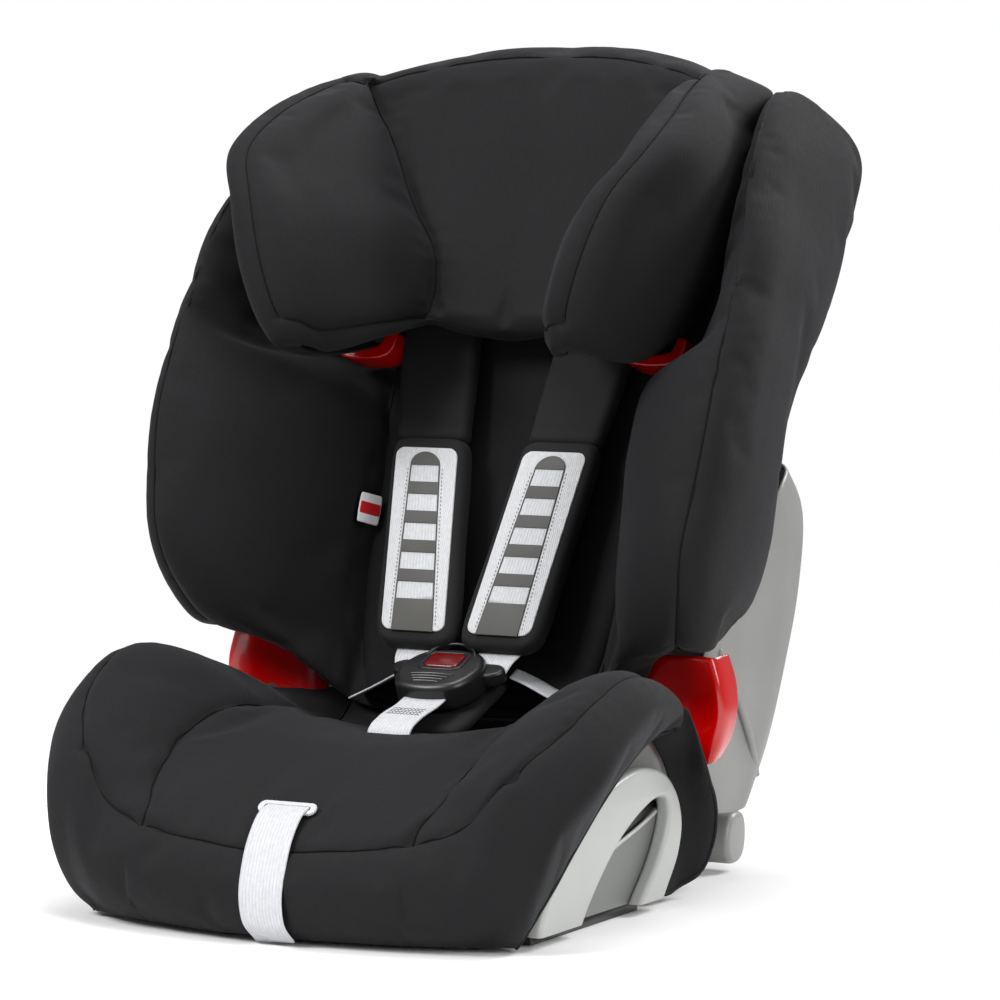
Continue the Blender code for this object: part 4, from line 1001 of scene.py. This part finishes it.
# ---------------------------------------------------------------- side flaps
FLAP_COLUMNS = [
    [(.190, .020, .154), (.186, .040, .136), (.1845, .068, .113), (.1845, .087, .080), (.1845, .083, .040),
     (.1845, .062, .011)],
    [(.205, .030, .160), (.200, .050, .139), (.191, .078, .111), (.186, .095, .077), (.185, .094, .036),
     (.185, .076, .0065)],
    [(.216, .038, .160), (.212, .058, .139), (.201, .084, .108), (.192, .106, .075), (.188, .108, .038),
     (.186, .094, .010)],
    [(.220, .044, .157), (.219, .061, .134), (.215, .081, .107), (.205, .113, .077), (.198, .124, .044),
     (.194, .110, .017)],
    [(.214, .051, .153), (.216, .068, .130), (.214, .088, .104), (.206, .120, .076), (.200, .131, .046),
     (.196, .120, .024)],
]


def make_side_flap(side, label):
    columns = np.array(FLAP_COLUMNS) * (side, 1, 1)
    flap = Sheet(columns, 5 * MM)
    obj = flap.build("side_flap_cloth_" + label, (side, 0, 0))
    rumple(flap, 1.4 * MM, 0.035)
    flap.update()
    rim = np.concatenate([seam_path(flap, row=flap.points.shape[1] - 1),
                          seam_path(flap, column=flap.points.shape[0] - 1)[::-1]])
    thicken(obj, 2.4 * MM)
    piping = tube("side_flap_piping_" + label, rim[::3], 1.8 * MM)
    # The cloth and its piping are attached to no body.
    for piece, look in ((obj, "cover"), (piping, "piping")):
        dress(piece, look, None)
        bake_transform(piece)
    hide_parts("side_flap_" + label)


# ---------------------------------------------------------------- harness
PAD_DROP = 18 * MM           # the pads hang this much lower on the straps than their CAD solids
CHEST_LENGTH = 0.176
WINDOWS = 5
WINDOW, BAR = 14.5 * MM, 10.8 * MM
STRIP_TOP, STRIP_FOOT = 26 * MM, 38 * MM   # widths of the rubber strip
FRAME_LENGTH, FRAME_TOP, FRAME_FOOT = 158 * MM, 57 * MM, 58 * MM
FRAME_FACE = 12.5 * MM       # off the chest pad's middle plane
STITCH_PITCH = 3.4 * MM


def strap_place(label):
    """Local frame of a shoulder strap's straight run, on its chest pad's middle."""
    chest, sleeve = middle("chest_pad_" + label), middle("shoulder_pad_" + label)
    run = unit(sleeve - chest)
    return place(chest - run * PAD_DROP, SIDEWAYS, run)


def strip_half(y):
    """Half width of the rubber strip at height y of the chest frame."""
    t = (y + FRAME_LENGTH / 2) / FRAME_LENGTH
    return (STRIP_FOOT + (STRIP_TOP - STRIP_FOOT) * t) / 2


def make_chest_pad(label):
    matrix = strap_place(label)
    half, end = 0.0375, CHEST_LENGTH / 2
    rows = [(-end - .004, 0, half - .014), (-end, 0, half - .007), (-end + .006, 0, half - .002),
            (-end + .016, 0, half), (0, 0, half - .001), (end - .014, 0, half - .002),
            (end - .004, 0, half - .004), (end, 0, half - .008), (end + .003, 0, half - .014)]
    pad = cushion_pad("chest_pad_cushion_" + label, rows, 0.0185, 0.008, matrix, flat=0.40)
    dress(pad, "pad", "headrest", ["chest_pad_" + label])
    frame_outline = rounded(FRAME_FOOT, FRAME_LENGTH, 8 * MM, top=FRAME_TOP)
    face = slab("chest_frame_face_" + label, frame_outline, FRAME_FACE - 2.2 * MM, FRAME_FACE, matrix,
                0.7 * MM)
    dress(face, "reflective", "headrest", ["chest_frame_" + label])
    make_chest_strip(label, matrix)
    make_chest_stitches(label, matrix)


def make_chest_strip(label, matrix):
    """Rubber ladder down the middle of the frame, with white webbing showing in its windows."""
    foot, top = -FRAME_LENGTH / 2, FRAME_LENGTH / 2 - 4 * MM
    first_window = foot + 26.5 * MM
    pieces = []

    def rubber(name, outline, proud, bevel):
        pieces.append(slab(name, outline, FRAME_FACE - 1 * MM, FRAME_FACE + proud, matrix, bevel))

    def bar(number, low, high):
        near, far = strip_half(low), strip_half(high)
        outline = [(-near, low), (near, low), (far, high), (-far, high)]
        rubber("strip_%d" % number, outline, 1.3 * MM, 0.4 * MM)

    bar(0, foot - 1.0 * MM, first_window)
    for k in range(1, WINDOWS):
        low = first_window + k * WINDOW + (k - 1) * BAR
        bar(k, low, low + BAR)
    low = first_window + WINDOWS * WINDOW + (WINDOWS - 1) * BAR
    radius = strip_half(low)
    cap = [(-radius, low), (radius, low)]
    cap += [(radius * math.cos(a), low + (top - low) * math.sin(a))
            for a in np.linspace(0.08, math.pi - 0.08, 15)]
    rubber("strip_cap", cap, 1.3 * MM, 0.4 * MM)
    start, end, rail_width = first_window - 1 * MM, low + 1 * MM, 0.8 * MM
    corners = ((start, 0), (end, 0), (end, rail_width), (start, rail_width))
    for side in (-1, 1):
        rubber("rail", [(side * (strip_half(y) - inset), y) for y, inset in corners], 1.1 * MM, 0.3 * MM)
    strip = merge("chest_strip_" + label, pieces)
    dress(strip, "rubber", "headrest")
    ends = [matrix @ Vector((0, y, FRAME_FACE)) for y in (first_window - 2 * MM, low + 2 * MM)]
    shares = np.linspace(0, 1, 12)
    path = [np.array(ends[0].lerp(ends[1], t)) for t in shares]
    widths = [2 * strip_half(first_window + (low - first_window) * t) - 1.4 * MM for t in shares]
    shown = ribbon("chest_window_webbing_" + label, path, widths, 1.0 * MM)
    dress(shown, "webbing", "headrest")


def make_chest_stitches(label, matrix):
    """Two rows of dark stitches beside the strip."""
    bm = bmesh.new()
    count = int((FRAME_LENGTH - 22 * MM) / STITCH_PITCH)
    for side in (-1, 1):
        for k in range(count):
            y = -FRAME_LENGTH / 2 + 6 * MM + k * STITCH_PITCH
            centre = Vector((side * (strip_half(y) + 2.2 * MM), y, FRAME_FACE + 0.1 * MM))
            size = Matrix.Diagonal((0.45 * MM, 1.0 * MM, 0.3 * MM, 1))
            stitch = matrix @ Matrix.Translation(centre) @ size
            bmesh.ops.create_icosphere(bm, subdivisions=1, radius=1, matrix=stitch)
    dress(from_bmesh("chest_stitches_" + label, bm), "thread", "headrest")


def make_sleeve(label):
    """Padded sleeve over the shoulder strap, with a sewn hem at its lower end."""
    chest, sleeve = middle("chest_pad_" + label), middle("shoulder_pad_" + label)
    run = np.linalg.norm(sleeve - chest) + PAD_DROP
    matrix = strap_place(label)
    low = CHEST_LENGTH / 2 - 0.002
    high = run + 0.060
    half = 0.0325
    rows = [(low, 0, half - .004), (low + .004, 0, half), (low + .020, 0, half + .001),
            (run, 0, half + .0025), (high - .01, 0, half + .0035), (high, 0, half + .003)]
    pad = cushion_pad("shoulder_sleeve_" + label, rows, 0.0160, 0.007, matrix, flat=0.45, crown=0.001,
                      channels=((low + 0.014, 1.6 * MM),))
    dress(pad, "pad", "headrest", ["shoulder_pad_" + label])


def make_shoulder_webbing(side, label):
    """White webbing from the tongue up into the chest pad."""
    matrix = strap_place(label)
    pocket = np.array(matrix @ Vector((0, -CHEST_LENGTH / 2 + 0.040, -0.002)))
    mouth = np.array(matrix @ Vector((0, -CHEST_LENGTH / 2, -0.003)))
    start = np.array(buckle_place(.011, .000) @ Vector((0.0345 * side, 0, 0)))
    path = [start, start + (mouth - start) * 0.5 + (0, -0.002, 0.001), mouth,
            mouth + (pocket - mouth) * 0.5, pocket]
    strap = ribbon("shoulder_webbing_" + label, path, [0.030, 0.035, 0.038, 0.038, 0.038], 1.8 * MM)
    dress(strap, "webbing", None)
    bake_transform(strap)
    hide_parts("shoulder_strap_" + label)


def make_lap_webbing(side, label):
    path = [(0.0465 * side, 0.0780, 0.1740), (0.060 * side, 0.0820, 0.1680), (0.080 * side, 0.0850, 0.1580),
            (0.104 * side, 0.0880, 0.1470)]
    strap = ribbon("lap_webbing_" + label, path, 0.024, 1.8 * MM, (0.0, 1.0, 0.08))
    dress(strap, "webbing", "seat", ["lap_strap_" + label])


# ---------------------------------------------------------------- buckle
BUCKLE_UP = -unit(joint("buckle_latch_slide")["axis"])
BUCKLE_UP = BUCKLE_UP * np.sign(BUCKLE_UP[1])
BUCKLE_CENTRE = middle("buckle_case")


def buckle_place(along=0.0, lift=0.0):
    matrix = place(BUCKLE_CENTRE, SIDEWAYS, BUCKLE_UP)
    return matrix @ Matrix.Translation((0, along, lift))


def make_buckle():
    matrix = buckle_place()
    waist = [(-.0345, .010), (-.037, -.004), (-.033, -.020), (-.025, -.031), (-.010, -.036), (.010, -.036),
             (.025, -.031), (.033, -.020), (.037, -.004), (.0345, .010), (.026, .023), (.012, .028),
             (-.012, .028), (-.026, .023)]
    case = slab("buckle_shell", smooth_ring(waist, 2.5 * MM), -.012, .012, matrix, 5.5 * MM, 6)
    pieces = []
    for k in range(4):
        y = -.014 - k * 4.2 * MM
        half = .019 - k * 2.6 * MM
        path = [matrix @ Vector((x, y - 0.0006 * (x / 0.01) ** 2, .0120))
                for x in np.linspace(-half, half, 9)]
        pieces.append(tube("groove", [np.array(p) for p in path], 0.9 * MM))
    dress(case, "black", "buckle", ["buckle_case"])
    ribs = merge("buckle_grip_ribs", pieces)
    dress(ribs, "black", "buckle")
    surround = rounded(.040, .030, .008, (0, .007))
    opening = rounded(.033, .024, .006, (0, .007))
    well = slab("buckle_button_surround", surround, .0105, .0130, matrix, 0.8 * MM, 3, [opening])
    dress(well, "black", "buckle")
    face = rounded(.031, .022, .005, (0, .007))
    button = slab("buckle_button_cap", face, .0086, .0136, matrix, 1.6 * MM, 4)
    dress(button, "dark_red", "buckle_button", ["buckle_button"])
    for side, label in SIDES:
        make_tongue(side, label)
    loop = [(-.024, .014, .010), (-.016, .026, .0135), (0, .031, .0145), (.016, .026, .0135),
            (.024, .014, .010)]
    path = [np.array(matrix @ Vector(p)) for p in loop]
    dress(tube("buckle_loop", path, 1.3 * MM), "black", "buckle")


def make_tongue(side, label):
    """Black tongue: blade into the buckle and a rounded head that the webbing passes through."""
    matrix = buckle_place()
    head = [(.018, .002), (.018, .016), (.030, .020), (.045, .018), (.051, .010), (.046, .002), (.034, -.002),
            (.024, -.002)]
    ring = [(x * side, y) for x, y in head][::side]
    shell = slab("tongue_head_shell_" + label, smooth_ring(ring, 2 * MM), -.0065, .0055, matrix, 2.6 * MM, 5)
    plate = rounded(.019, .022, .003, (.0135 * side, .010))
    blade = slab("blade", plate, -.0033, -.0007, matrix, 0.5 * MM, 2)
    made = merge("tongue_shell_" + label, [shell, blade])
    dress(made, "black", "tongue_" + label, ["tongue_" + label])


def make_crotch_strap():
    low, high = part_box("crotch_anchor")
    y = (low.y + high.y) / 2
    z = high.z
    into = np.array(buckle_place(-.026, -.001) @ Vector((0, 0, 0)))
    mouth = np.array((0, y + .004, z + .062))
    path = [(0, y, z), (0, y + .0005, z + .045), mouth, mouth + (into - mouth) * 0.28 + (0, -.0015, .0025),
            mouth + (into - mouth) * 0.7, into]
    strap = ribbon("crotch_webbing", path, 0.038, 1.9 * MM)
    dress(strap, "webbing", "buckle", ["crotch_strap"])
    make_zigzag(path)
    rows = [(-.060, 0, .026), (-.056, 0, .033), (-.046, 0, .038), (-.010, 0, .040), (.030, 0, .040),
            (.042, 0, .036), (.047, 0, .029)]
    pad = cushion_pad("crotch_pad_cushion", rows, 0.010, 0.006, buckle_place(0, -.0200), flat=0.45)
    dress(pad, "pad", "buckle", ["crotch_pad"])


def make_zigzag(path):
    """Zigzag stitches where the crotch webbing is sewn back on itself."""
    samples = curve_through(path, 1 * MM)
    ahead = directions(samples)
    lift = np.cross(np.broadcast_to(SIDEWAYS, ahead.shape), ahead)
    start = int(len(samples) * 0.66)
    pieces = []
    for row in range(4):
        k = start + row * 4
        teeth = []
        for i in range(19):
            x = -0.0145 + i * 0.0290 / 18
            shift = ahead[k] * (1.1 * MM if i % 2 else -1.1 * MM)
            teeth.append(samples[k] + SIDEWAYS * x + shift + lift[k] * 1.1 * MM)
        pieces.append(tube("zigzag", teeth, 0.32 * MM, sides=5, step=2 * MM))
    dress(merge("crotch_stitches", pieces), "thread", "buckle")


# ---------------------------------------------------------------- adjuster strap
ADJUSTER_SLOT = (-0.204, 0.0955)


def make_adjuster_strap():
    y, z = ADJUSTER_SLOT
    path = [(.004, y + .030, z + .004), (.004, y + .014, z + .0030), (.004, y + .003, z + .0045),
            (.004, y - .010, z + .001), (.0045, y - .026, z - .014), (.006, y - .039, z - .034),
            (.0075, y - .0475, z - .058), (.009, y - .045, z - .078), (.010, y - .030, z - .0925)]
    strap = ribbon("adjuster_webbing", path, [.036, .036, .037, .038, .038, .038, .037, .036, .035], 1.9 * MM)
    dress(strap, "webbing", "seat", ["adjuster_strap"])
    matrix = place((.004, y - .001, z + .0035), SIDEWAYS, (0, 0.8, 0.6))
    ring = rounded(.050, .012, .0055)
    hole = rounded(.040, .0045, .002)
    trim = slab("adjuster_slot_trim", ring, -.0012, .0012, matrix, 0.7 * MM, 3, [hole])
    dress(trim, "reflective", "seat")


# ---------------------------------------------------------------- base and shells
def side_slab(name, outline, thickness, x, side, bevel, step=3 * MM):
    """Flat piece standing across X; its outline is a smooth ring of (y, z)."""
    stand = Matrix(((0, 0, 1, x * side), (1, 0, 0, 0), (0, 1, 0, 0), (0, 0, 0, 1)))
    return slab(name, smooth_ring(outline, step), -thickness / 2, thickness / 2, stand, bevel, 5)


# Outlines in (y, z). The arch is one open ring: up the front leg, over, down the rear leg and back inside.
ARCH = [(-.1600, .000), (-.1635, .014), (-.149, .037), (-.127, .0585), (-.097, .0835), (-.055, .1035),
        (-.013, .1140), (.022, .1145), (.053, .1050), (.0735, .085), (.0800, .063), (.0735, .040),
        (.056, .018), (.038, .000), (.014, -.006), (.000, .002), (.010, .014), (.033, .036), (.0495, .058),
        (.0560, .0750), (.0530, .0855), (.036, .0885), (.006, .0805), (-.026, .0655), (-.055, .045),
        (-.082, .021), (-.100, .002), (-.122, -.008)]
ARCH_FLOOR = 0.0090          # height at which the arch and its panel are cut off
PANEL = [(-.112, .004), (-.086, .024), (-.055, .043), (-.020, .0545), (.030, .0668), (.070, .0782),
         (.074, .062), (.060, .036), (.036, .012), (.020, .004)]
PANEL_RIM = slice(2, 6)      # the panel's points that its lip follows
# SLOT: outline of a black plate in the arch's slot opening, painted shadow of the hollow behind it.
SLOT = [(-.040, .046), (-.036, .066), (-.004, .084), (.034, .094), (.062, .092), (.074, .078), (.040, .066),
        (.0, .054)]
HOUSING = [(-.150, .012), (-.136, .026), (-.111, .043), (-.076, .070), (-.029, .099), (.023, .1235),
           (.051, .1330), (.083, .1230), (.101, .103), (.104, .088), (.096, .070), (.060, .058),
           (.0, .058), (-.060, .050), (-.110, .020)]
FOOT = [(.222, .018), (.229, .0085), (.246, .0080), (.255, .016), (.258, .036), (.252, .048), (.232, .048),
        (.223, .036)]


def block(low, high):
    """Box between two corners, for cutting."""
    low, high = np.array(low), np.array(high)
    bm = bmesh.new()
    size = Matrix.Diagonal((*(high - low), 1))
    bmesh.ops.create_cube(bm, size=1, matrix=Matrix.Translation(((low + high) / 2).tolist()) @ size)
    return from_bmesh("block", bm)


TRAY_CUTS = ((.1815, -.30), (.1180, .070))   # (beyond this x, behind this y)
AXLE_ENDS = (.112, .130, .146)
AXLE_HEIGHT, AXLE_RADIUS = .028, 7 * MM
AXLE_FORWARD = 12 * MM       # of the feet's middle


def make_tray():
    """Base tray without the edges that would show beside the arches and feet."""
    source = frame["nodes"]["base_tray"]
    tray = link("base_tray_moulding", source.data.copy())
    for side in (-1, 1):
        for near, low_y in TRAY_CUTS:
            x = sorted((near * side, .30 * side))
            carve(tray, block((x[0], low_y, -.01), (x[1], .40, .20)))
    dress(tray, "black", "base", ["base_tray"])
    feet_low, feet_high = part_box("rear_foot_right")
    axle_y = (feet_low.y + feet_high.y) / 2 - AXLE_FORWARD
    for side, label in SIDES:
        path = [(x * side, axle_y, AXLE_HEIGHT) for x in AXLE_ENDS]
        axle = tube("rear_foot_axle_" + label, path, AXLE_RADIUS, sides=16)
        dress(axle, "black", "base")


def below_floor_cutter(x, side):
    return block((x * side - .04, -.25, ARCH_FLOOR - .06), (x * side + .04, .15, ARCH_FLOOR))


def make_arch(side, label):
    low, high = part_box("side_arch_" + label)
    x = abs(low.x + high.x) / 2
    width = high.x - low.x
    arch = side_slab("side_arch_shell_" + label, ARCH, width + 1.5 * MM, x, side, 4.2 * MM)
    carve(arch, below_floor_cutter(x, side))
    dress(arch, "light_grey", "base", ["side_arch_" + label])
    panel_x = abs(middle("arch_panel_" + label)[0])
    panel = side_slab("arch_recess_panel_" + label, PANEL, 3 * MM, panel_x, side, 0.6 * MM)
    carve(panel, below_floor_cutter(panel_x, side))
    dress(panel, "panel_grey", "base", ["arch_panel_" + label])
    # Black plate behind the slot's opening: painted shadow of the hollow there.
    slot = side_slab("arch_slot_painted_shadow_" + label, SLOT, 1 * MM, panel_x - 1.6 * MM, side, 0.3 * MM)
    dress(slot, "black", "base")
    lip = [((panel_x + 1 * MM) * side, y, z) for y, z in PANEL[PANEL_RIM]]
    dress(tube("arch_panel_lip_" + label, lip, 1.7 * MM), "light_grey", "base")
    housing_x = abs(middle("side_housing_" + label)[0])
    housing = side_slab("side_housing_shell_" + label, HOUSING, 3.2 * MM, housing_x, side, 1.0 * MM)
    dress(housing, "mid_grey", "seat", ["side_housing_" + label])
    foot_x = abs(middle("rear_foot_" + label)[0])
    foot = side_slab("rear_foot_shell_" + label, FOOT, 34 * MM, foot_x, side, 5 * MM, step=2.5 * MM)
    dress(foot, "shell_grey", "base", ["rear_foot_" + label])


FAIRING_COLUMNS = [
    [(0, .264, .132), (0, .283, .185), (0, .304, .240), (0, .315, .292), (0, .304, .334), (0, .268, .352)],
    [(.100, .258, .128), (.100, .279, .180), (.100, .300, .235), (.100, .311, .290), (.100, .300, .332),
     (.100, .266, .350)],
    [(.168, .226, .090), (.172, .260, .140), (.176, .284, .204), (.177, .302, .268), (.177, .297, .320),
     (.174, .262, .344)],
    [(.190, .206, .064), (.196, .236, .110), (.201, .264, .176), (.204, .285, .240), (.205, .288, .300),
     (.202, .262, .336)],
    [(.197, .197, .060), (.206, .215, .110), (.2105, .232, .168), (.2125, .246, .226), (.2125, .252, .282),
     (.209, .240, .322)],
    [(.193, .182, .058), (.200, .190, .104), (.206, .198, .156), (.209, .206, .210), (.2095, .214, .258),
     (.207, .218, .300)],
    [(.188, .160, .060), (.194, .152, .102), (.201, .146, .148), (.205, .148, .190), (.206, .156, .226),
     (.205, .172, .256)],
    [(.184, .150, .066), (.190, .128, .102), (.200, .106, .144), (.205, .098, .176), (.206, .104, .200),
     (.205, .126, .222)],
]
FAIRING_RIDGE = [(.2045, .128, .196), (.2045, .150, .172), (.2045, .172, .144), (.203, .194, .114),
                 (.199, .212, .086)]


def make_fairing():
    shell = Sheet(FAIRING_COLUMNS, 7 * MM, mirror=True)
    obj = shell.build("rear_fairing_shell", (0, 1, 0))
    thicken(obj, 3.5 * MM)
    dress(obj, "shell_grey", "seat", ["rear_fairing"])
    for side, label in SIDES:
        ridge = [(x * side, y, z) for x, y, z in FAIRING_RIDGE]
        dress(tube("fairing_ridge_" + label, ridge, 3.4 * MM), "shell_grey", "seat")


GUIDE_SHIFT = (-.007, .014, 0)
GUIDE_HOLE, HOLE_RADIUS = (.189, .094, .146), 5.8 * MM
GUIDE_COLUMNS = [
    [(.148, .100, .187), (.147, .100, .170), (.149, .096, .152), (.153, .094, .137), (.159, .096, .124)],
    [(.160, .083, .1925), (.160, .085, .172), (.162, .084, .152), (.166, .082, .132), (.173, .084, .117)],
    [(.190, .076, .1945), (.190, .080, .172), (.190, .081, .154), (.191, .077, .130), (.194, .080, .112)],
    [(.214, .070, .1955), (.217, .073, .174), (.217, .076, .152), (.214, .076, .127), (.210, .080, .108)],
    [(.226, .072, .1955), (.232, .072, .172), (.233, .075, .150), (.228, .078, .127), (.219, .084, .108)],
    [(.229, .098, .1965), (.235, .100, .174), (.235, .102, .150), (.229, .102, .127), (.219, .102, .110)],
]


def make_lap_guide(side, label):
    columns = (np.array(GUIDE_COLUMNS) + GUIDE_SHIFT) * (side, 1, 1)
    guide = Sheet(columns, 3.5 * MM)
    obj = guide.build("lap_guide_shell_" + label, (0, -1, 0))
    thicken(obj, 4 * MM)
    apply_modifiers(obj)
    x, y, z = GUIDE_HOLE
    turn = Matrix.Translation((x * side, y, z)) @ Matrix.Rotation(math.radians(90), 4, "X")
    bm = bmesh.new()
    bmesh.ops.create_cone(bm, cap_ends=True, segments=28, radius1=HOLE_RADIUS, radius2=HOLE_RADIUS,
                          depth=0.04, matrix=turn)
    carve(obj, from_bmesh("drill", bm))
    dress(obj, "red", "seat", ["lap_belt_guide_" + label])


def make_belt_hook(side, label):
    """Red hook under the headrest's lower corner for the vehicle's diagonal belt."""
    outline = [(.104, .296), (.105, .281), (.112, .274), (.132, .271), (.151, .273), (.160, .280),
               (.162, .294), (.155, .295), (.150, .284), (.135, .281), (.119, .284), (.112, .296)]
    ring = smooth_ring([(u * side, w) for u, w in outline][::side], 2 * MM)
    matrix = place(back(0, .066, 0), SIDEWAYS, BACK_UP)
    hook = slab("shoulder_belt_hook_" + label, ring, -.014, .014, matrix, 1.8 * MM, 4)
    dress(hook, "red", "headrest", ["shoulder_belt_guide_" + label])


def make_tag():
    """Small folded fabric tag in the insert's left seam: white with a plain red stripe."""
    low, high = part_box("side_tag")
    centre = np.array((low + high) / 2)
    matrix = place(centre, unit(BACK_FORWARD * 0.80 - SIDEWAYS * 0.60), BACK_UP)
    rows = [(-.013, 0, .0085), (-.012, 0, .0095), (.012, 0, .0095), (.013, 0, .0085)]
    tag = cushion_pad("fabric_tag", rows, 0.0016, 0.0006, matrix, flat=0.5, step=2 * MM)
    dress(tag, "tag", "seat", ["side_tag"])
    rows = [(-.0055, 0, .0088), (-.005, 0, .0092), (.005, 0, .0092), (.0055, 0, .0088)]
    stripe = cushion_pad("fabric_tag_stripe", rows, 0.0024, 0.0004, matrix, flat=0.5, step=2 * MM)
    dress(stripe, "tag_red", "seat")


# The back shell's side edge, up the backrest: (w, u, v).
SHELL_EDGE = [(.125, .222, .006), (.200, .224, .002), (.280, .226, -.008), (.350, .228, -.024),
              (.420, .231, -.040), (.470, .229, -.050), (.492, .222, -.050)]
RIB_PLACES = (-.150, -.100, .100, .150)


def make_back_shell():
    """Plastic back shell with stiffening ribs, seen from behind above the fairing."""
    rows = []
    for w, rear_u, rear_v in SHELL_EDGE:
        depth = min(rear_v + .010, -.002)
        rows.append([back(u, v, w) for u, v in ((0, -.004), (.060, -.004), (.120, -.005), (.165, depth),
                                                (rear_u - .020, depth), (rear_u - .012, depth + .012),
                                                (rear_u - .012, depth + .032))])
    shell = Sheet(np.array(rows).swapaxes(0, 1), 8 * MM, mirror=True)
    obj = shell.build("back_shell_moulding", (0, 1, 0))
    thicken(obj, 3 * MM)
    dress(obj, "black", "seat", ["back_shell"])
    ribs = []
    for u in RIB_PLACES:
        matrix = place(back(u, -.008, .420), BACK_FORWARD, BACK_UP)
        ribs.append(slab("rib", rounded(.014, .120, .004), -.002, .002, matrix, 0.8 * MM))
    dress(merge("back_shell_ribs", ribs), "black", "seat")


# ---------------------------------------------------------------- the rest of the CAD frame
def dress_frame():
    """Gives the CAD pieces that stay visible their finish."""
    for name, obj in frame["nodes"].items():
        if obj.hide_render:
            continue
        for slot in obj.material_slots:
            found = slot.material.name.split(".")[0] if slot.material else ""
            look = NODE_LOOKS.get(name) or SLOT_LOOKS.get(found)
            if look:
                slot.material = LOOKS[look]
        if not obj.data.uv_layers.get("weave"):
            box_uv(obj.data)
        bevel = obj.modifiers.new("edges", "BEVEL")
        bevel.width = 0.5 * MM
        bevel.segments = 2
        bevel.limit_method = "ANGLE"
        bevel.angle_limit = SHARP


# ---------------------------------------------------------------- studio
def look_at(obj, target):
    obj.rotation_euler = (Vector(target) - obj.location).to_track_quat("-Z", "Y").to_euler()


def area_light(name, location, target, size, power):
    light = bpy.data.lights.new(name, "AREA")
    light.shape = "RECTANGLE"
    light.size, light.size_y = size
    light.energy = power
    obj = bpy.data.objects.new(name, light)
    bpy.context.scene.collection.objects.link(obj)
    obj.location = location
    look_at(obj, target)


def make_studio():
    scene = bpy.context.scene
    scene.view_settings.view_transform = "Standard"
    make_backdrop(scene)
    aim = (0, 0, 0.32)
    area_light("key", (-1.4, -2.2, 2.4), aim, (1.2, 1.2), 92)
    area_light("fill", (2.6, -1.2, 1.3), aim, (1.0, 1.8), 44)
    area_light("rim", (1.4, 2.2, 2.0), aim, (1.2, 1.2), 66)
    area_light("top", (0, 0.1, 2.8), aim, (1.6, 1.6), 46)


def make_backdrop(scene):
    """White surroundings, and a pale floor that fades into them away from the seat."""
    world = bpy.data.worlds.new("studio")
    scene.world = world
    world.use_nodes = True
    tree = world.node_tree
    seen = put(tree, "LightPath").outputs["Is Camera Ray"]
    strength = put(tree, "MapRange", {"Value": seen, "To Min": 0.36, "To Max": 1.0}).outputs["Result"]
    tree.links.new(strength, tree.nodes["Background"].inputs["Strength"])
    tree.nodes["Background"].inputs["Color"].default_value = (1, 1, 1, 1)
    bm = bmesh.new()
    bmesh.ops.create_grid(bm, x_segments=1, y_segments=1, size=4)
    floor = from_bmesh("studio_floor", bm)
    made, tree, shader = blank("studio_paper")
    wire(tree, shader, Base_Color=tinted(tree, (0.95, 0.95, 0.95), grain(tree, 2.0), 0.99, 1.01))
    shader.inputs["Roughness"].default_value = 0.9
    spot = put(tree, "TexCoord").outputs["Object"]
    from_seat = put(tree, "VectorMath", {0: spot}, operation="LENGTH").outputs["Value"]
    fade = put(tree, "MapRange", {"Value": from_seat, "From Min": 0.45, "From Max": 1.2},
               interpolation_type="SMOOTHSTEP").outputs["Result"]
    clear = put(tree, "BsdfTransparent").outputs[0]
    mix = put(tree, "MixShader", {0: fade, 1: shader.outputs[0], 2: clear})
    tree.links.new(mix.outputs[0], tree.nodes["Material Output"].inputs["Surface"])
    floor.data.materials.append(made)


def make_camera():
    azimuth, pitch, distance = math.radians(28), math.radians(4.4), 3.5
    target = Vector((0.076, 0.0, 0.320))
    camera = bpy.data.cameras.new("camera")
    camera.lens, camera.sensor_width = 161.3, 36
    obj = bpy.data.objects.new("camera", camera)
    bpy.context.scene.collection.objects.link(obj)
    obj.location = target + distance * Vector((math.sin(azimuth) * math.cos(pitch),
                                               -math.cos(azimuth) * math.cos(pitch), math.sin(pitch)))
    look_at(obj, target)
    bpy.context.scene.camera = obj


def main():
    pad = make_headrest_pad()
    cover = make_backrest_cover()
    cushion = make_cushion_cover()
    run_puffs()
    finish_headrest_pad(*pad)
    finish_backrest_cover(*cover)
    finish_cushion_cover(*cushion)
    make_insert()
    for side, label in SIDES:
        make_side_flap(side, label)
        make_chest_pad(label)
        make_sleeve(label)
        make_shoulder_webbing(side, label)
        make_lap_webbing(side, label)
        make_arch(side, label)
        make_lap_guide(side, label)
        make_belt_hook(side, label)
    make_buckle()
    make_crotch_strap()
    make_adjuster_strap()
    make_tray()
    make_fairing()
    make_back_shell()
    make_tag()
    dress_frame()
    make_studio()
    make_camera()


main()

bpy.context.view_layer.update()
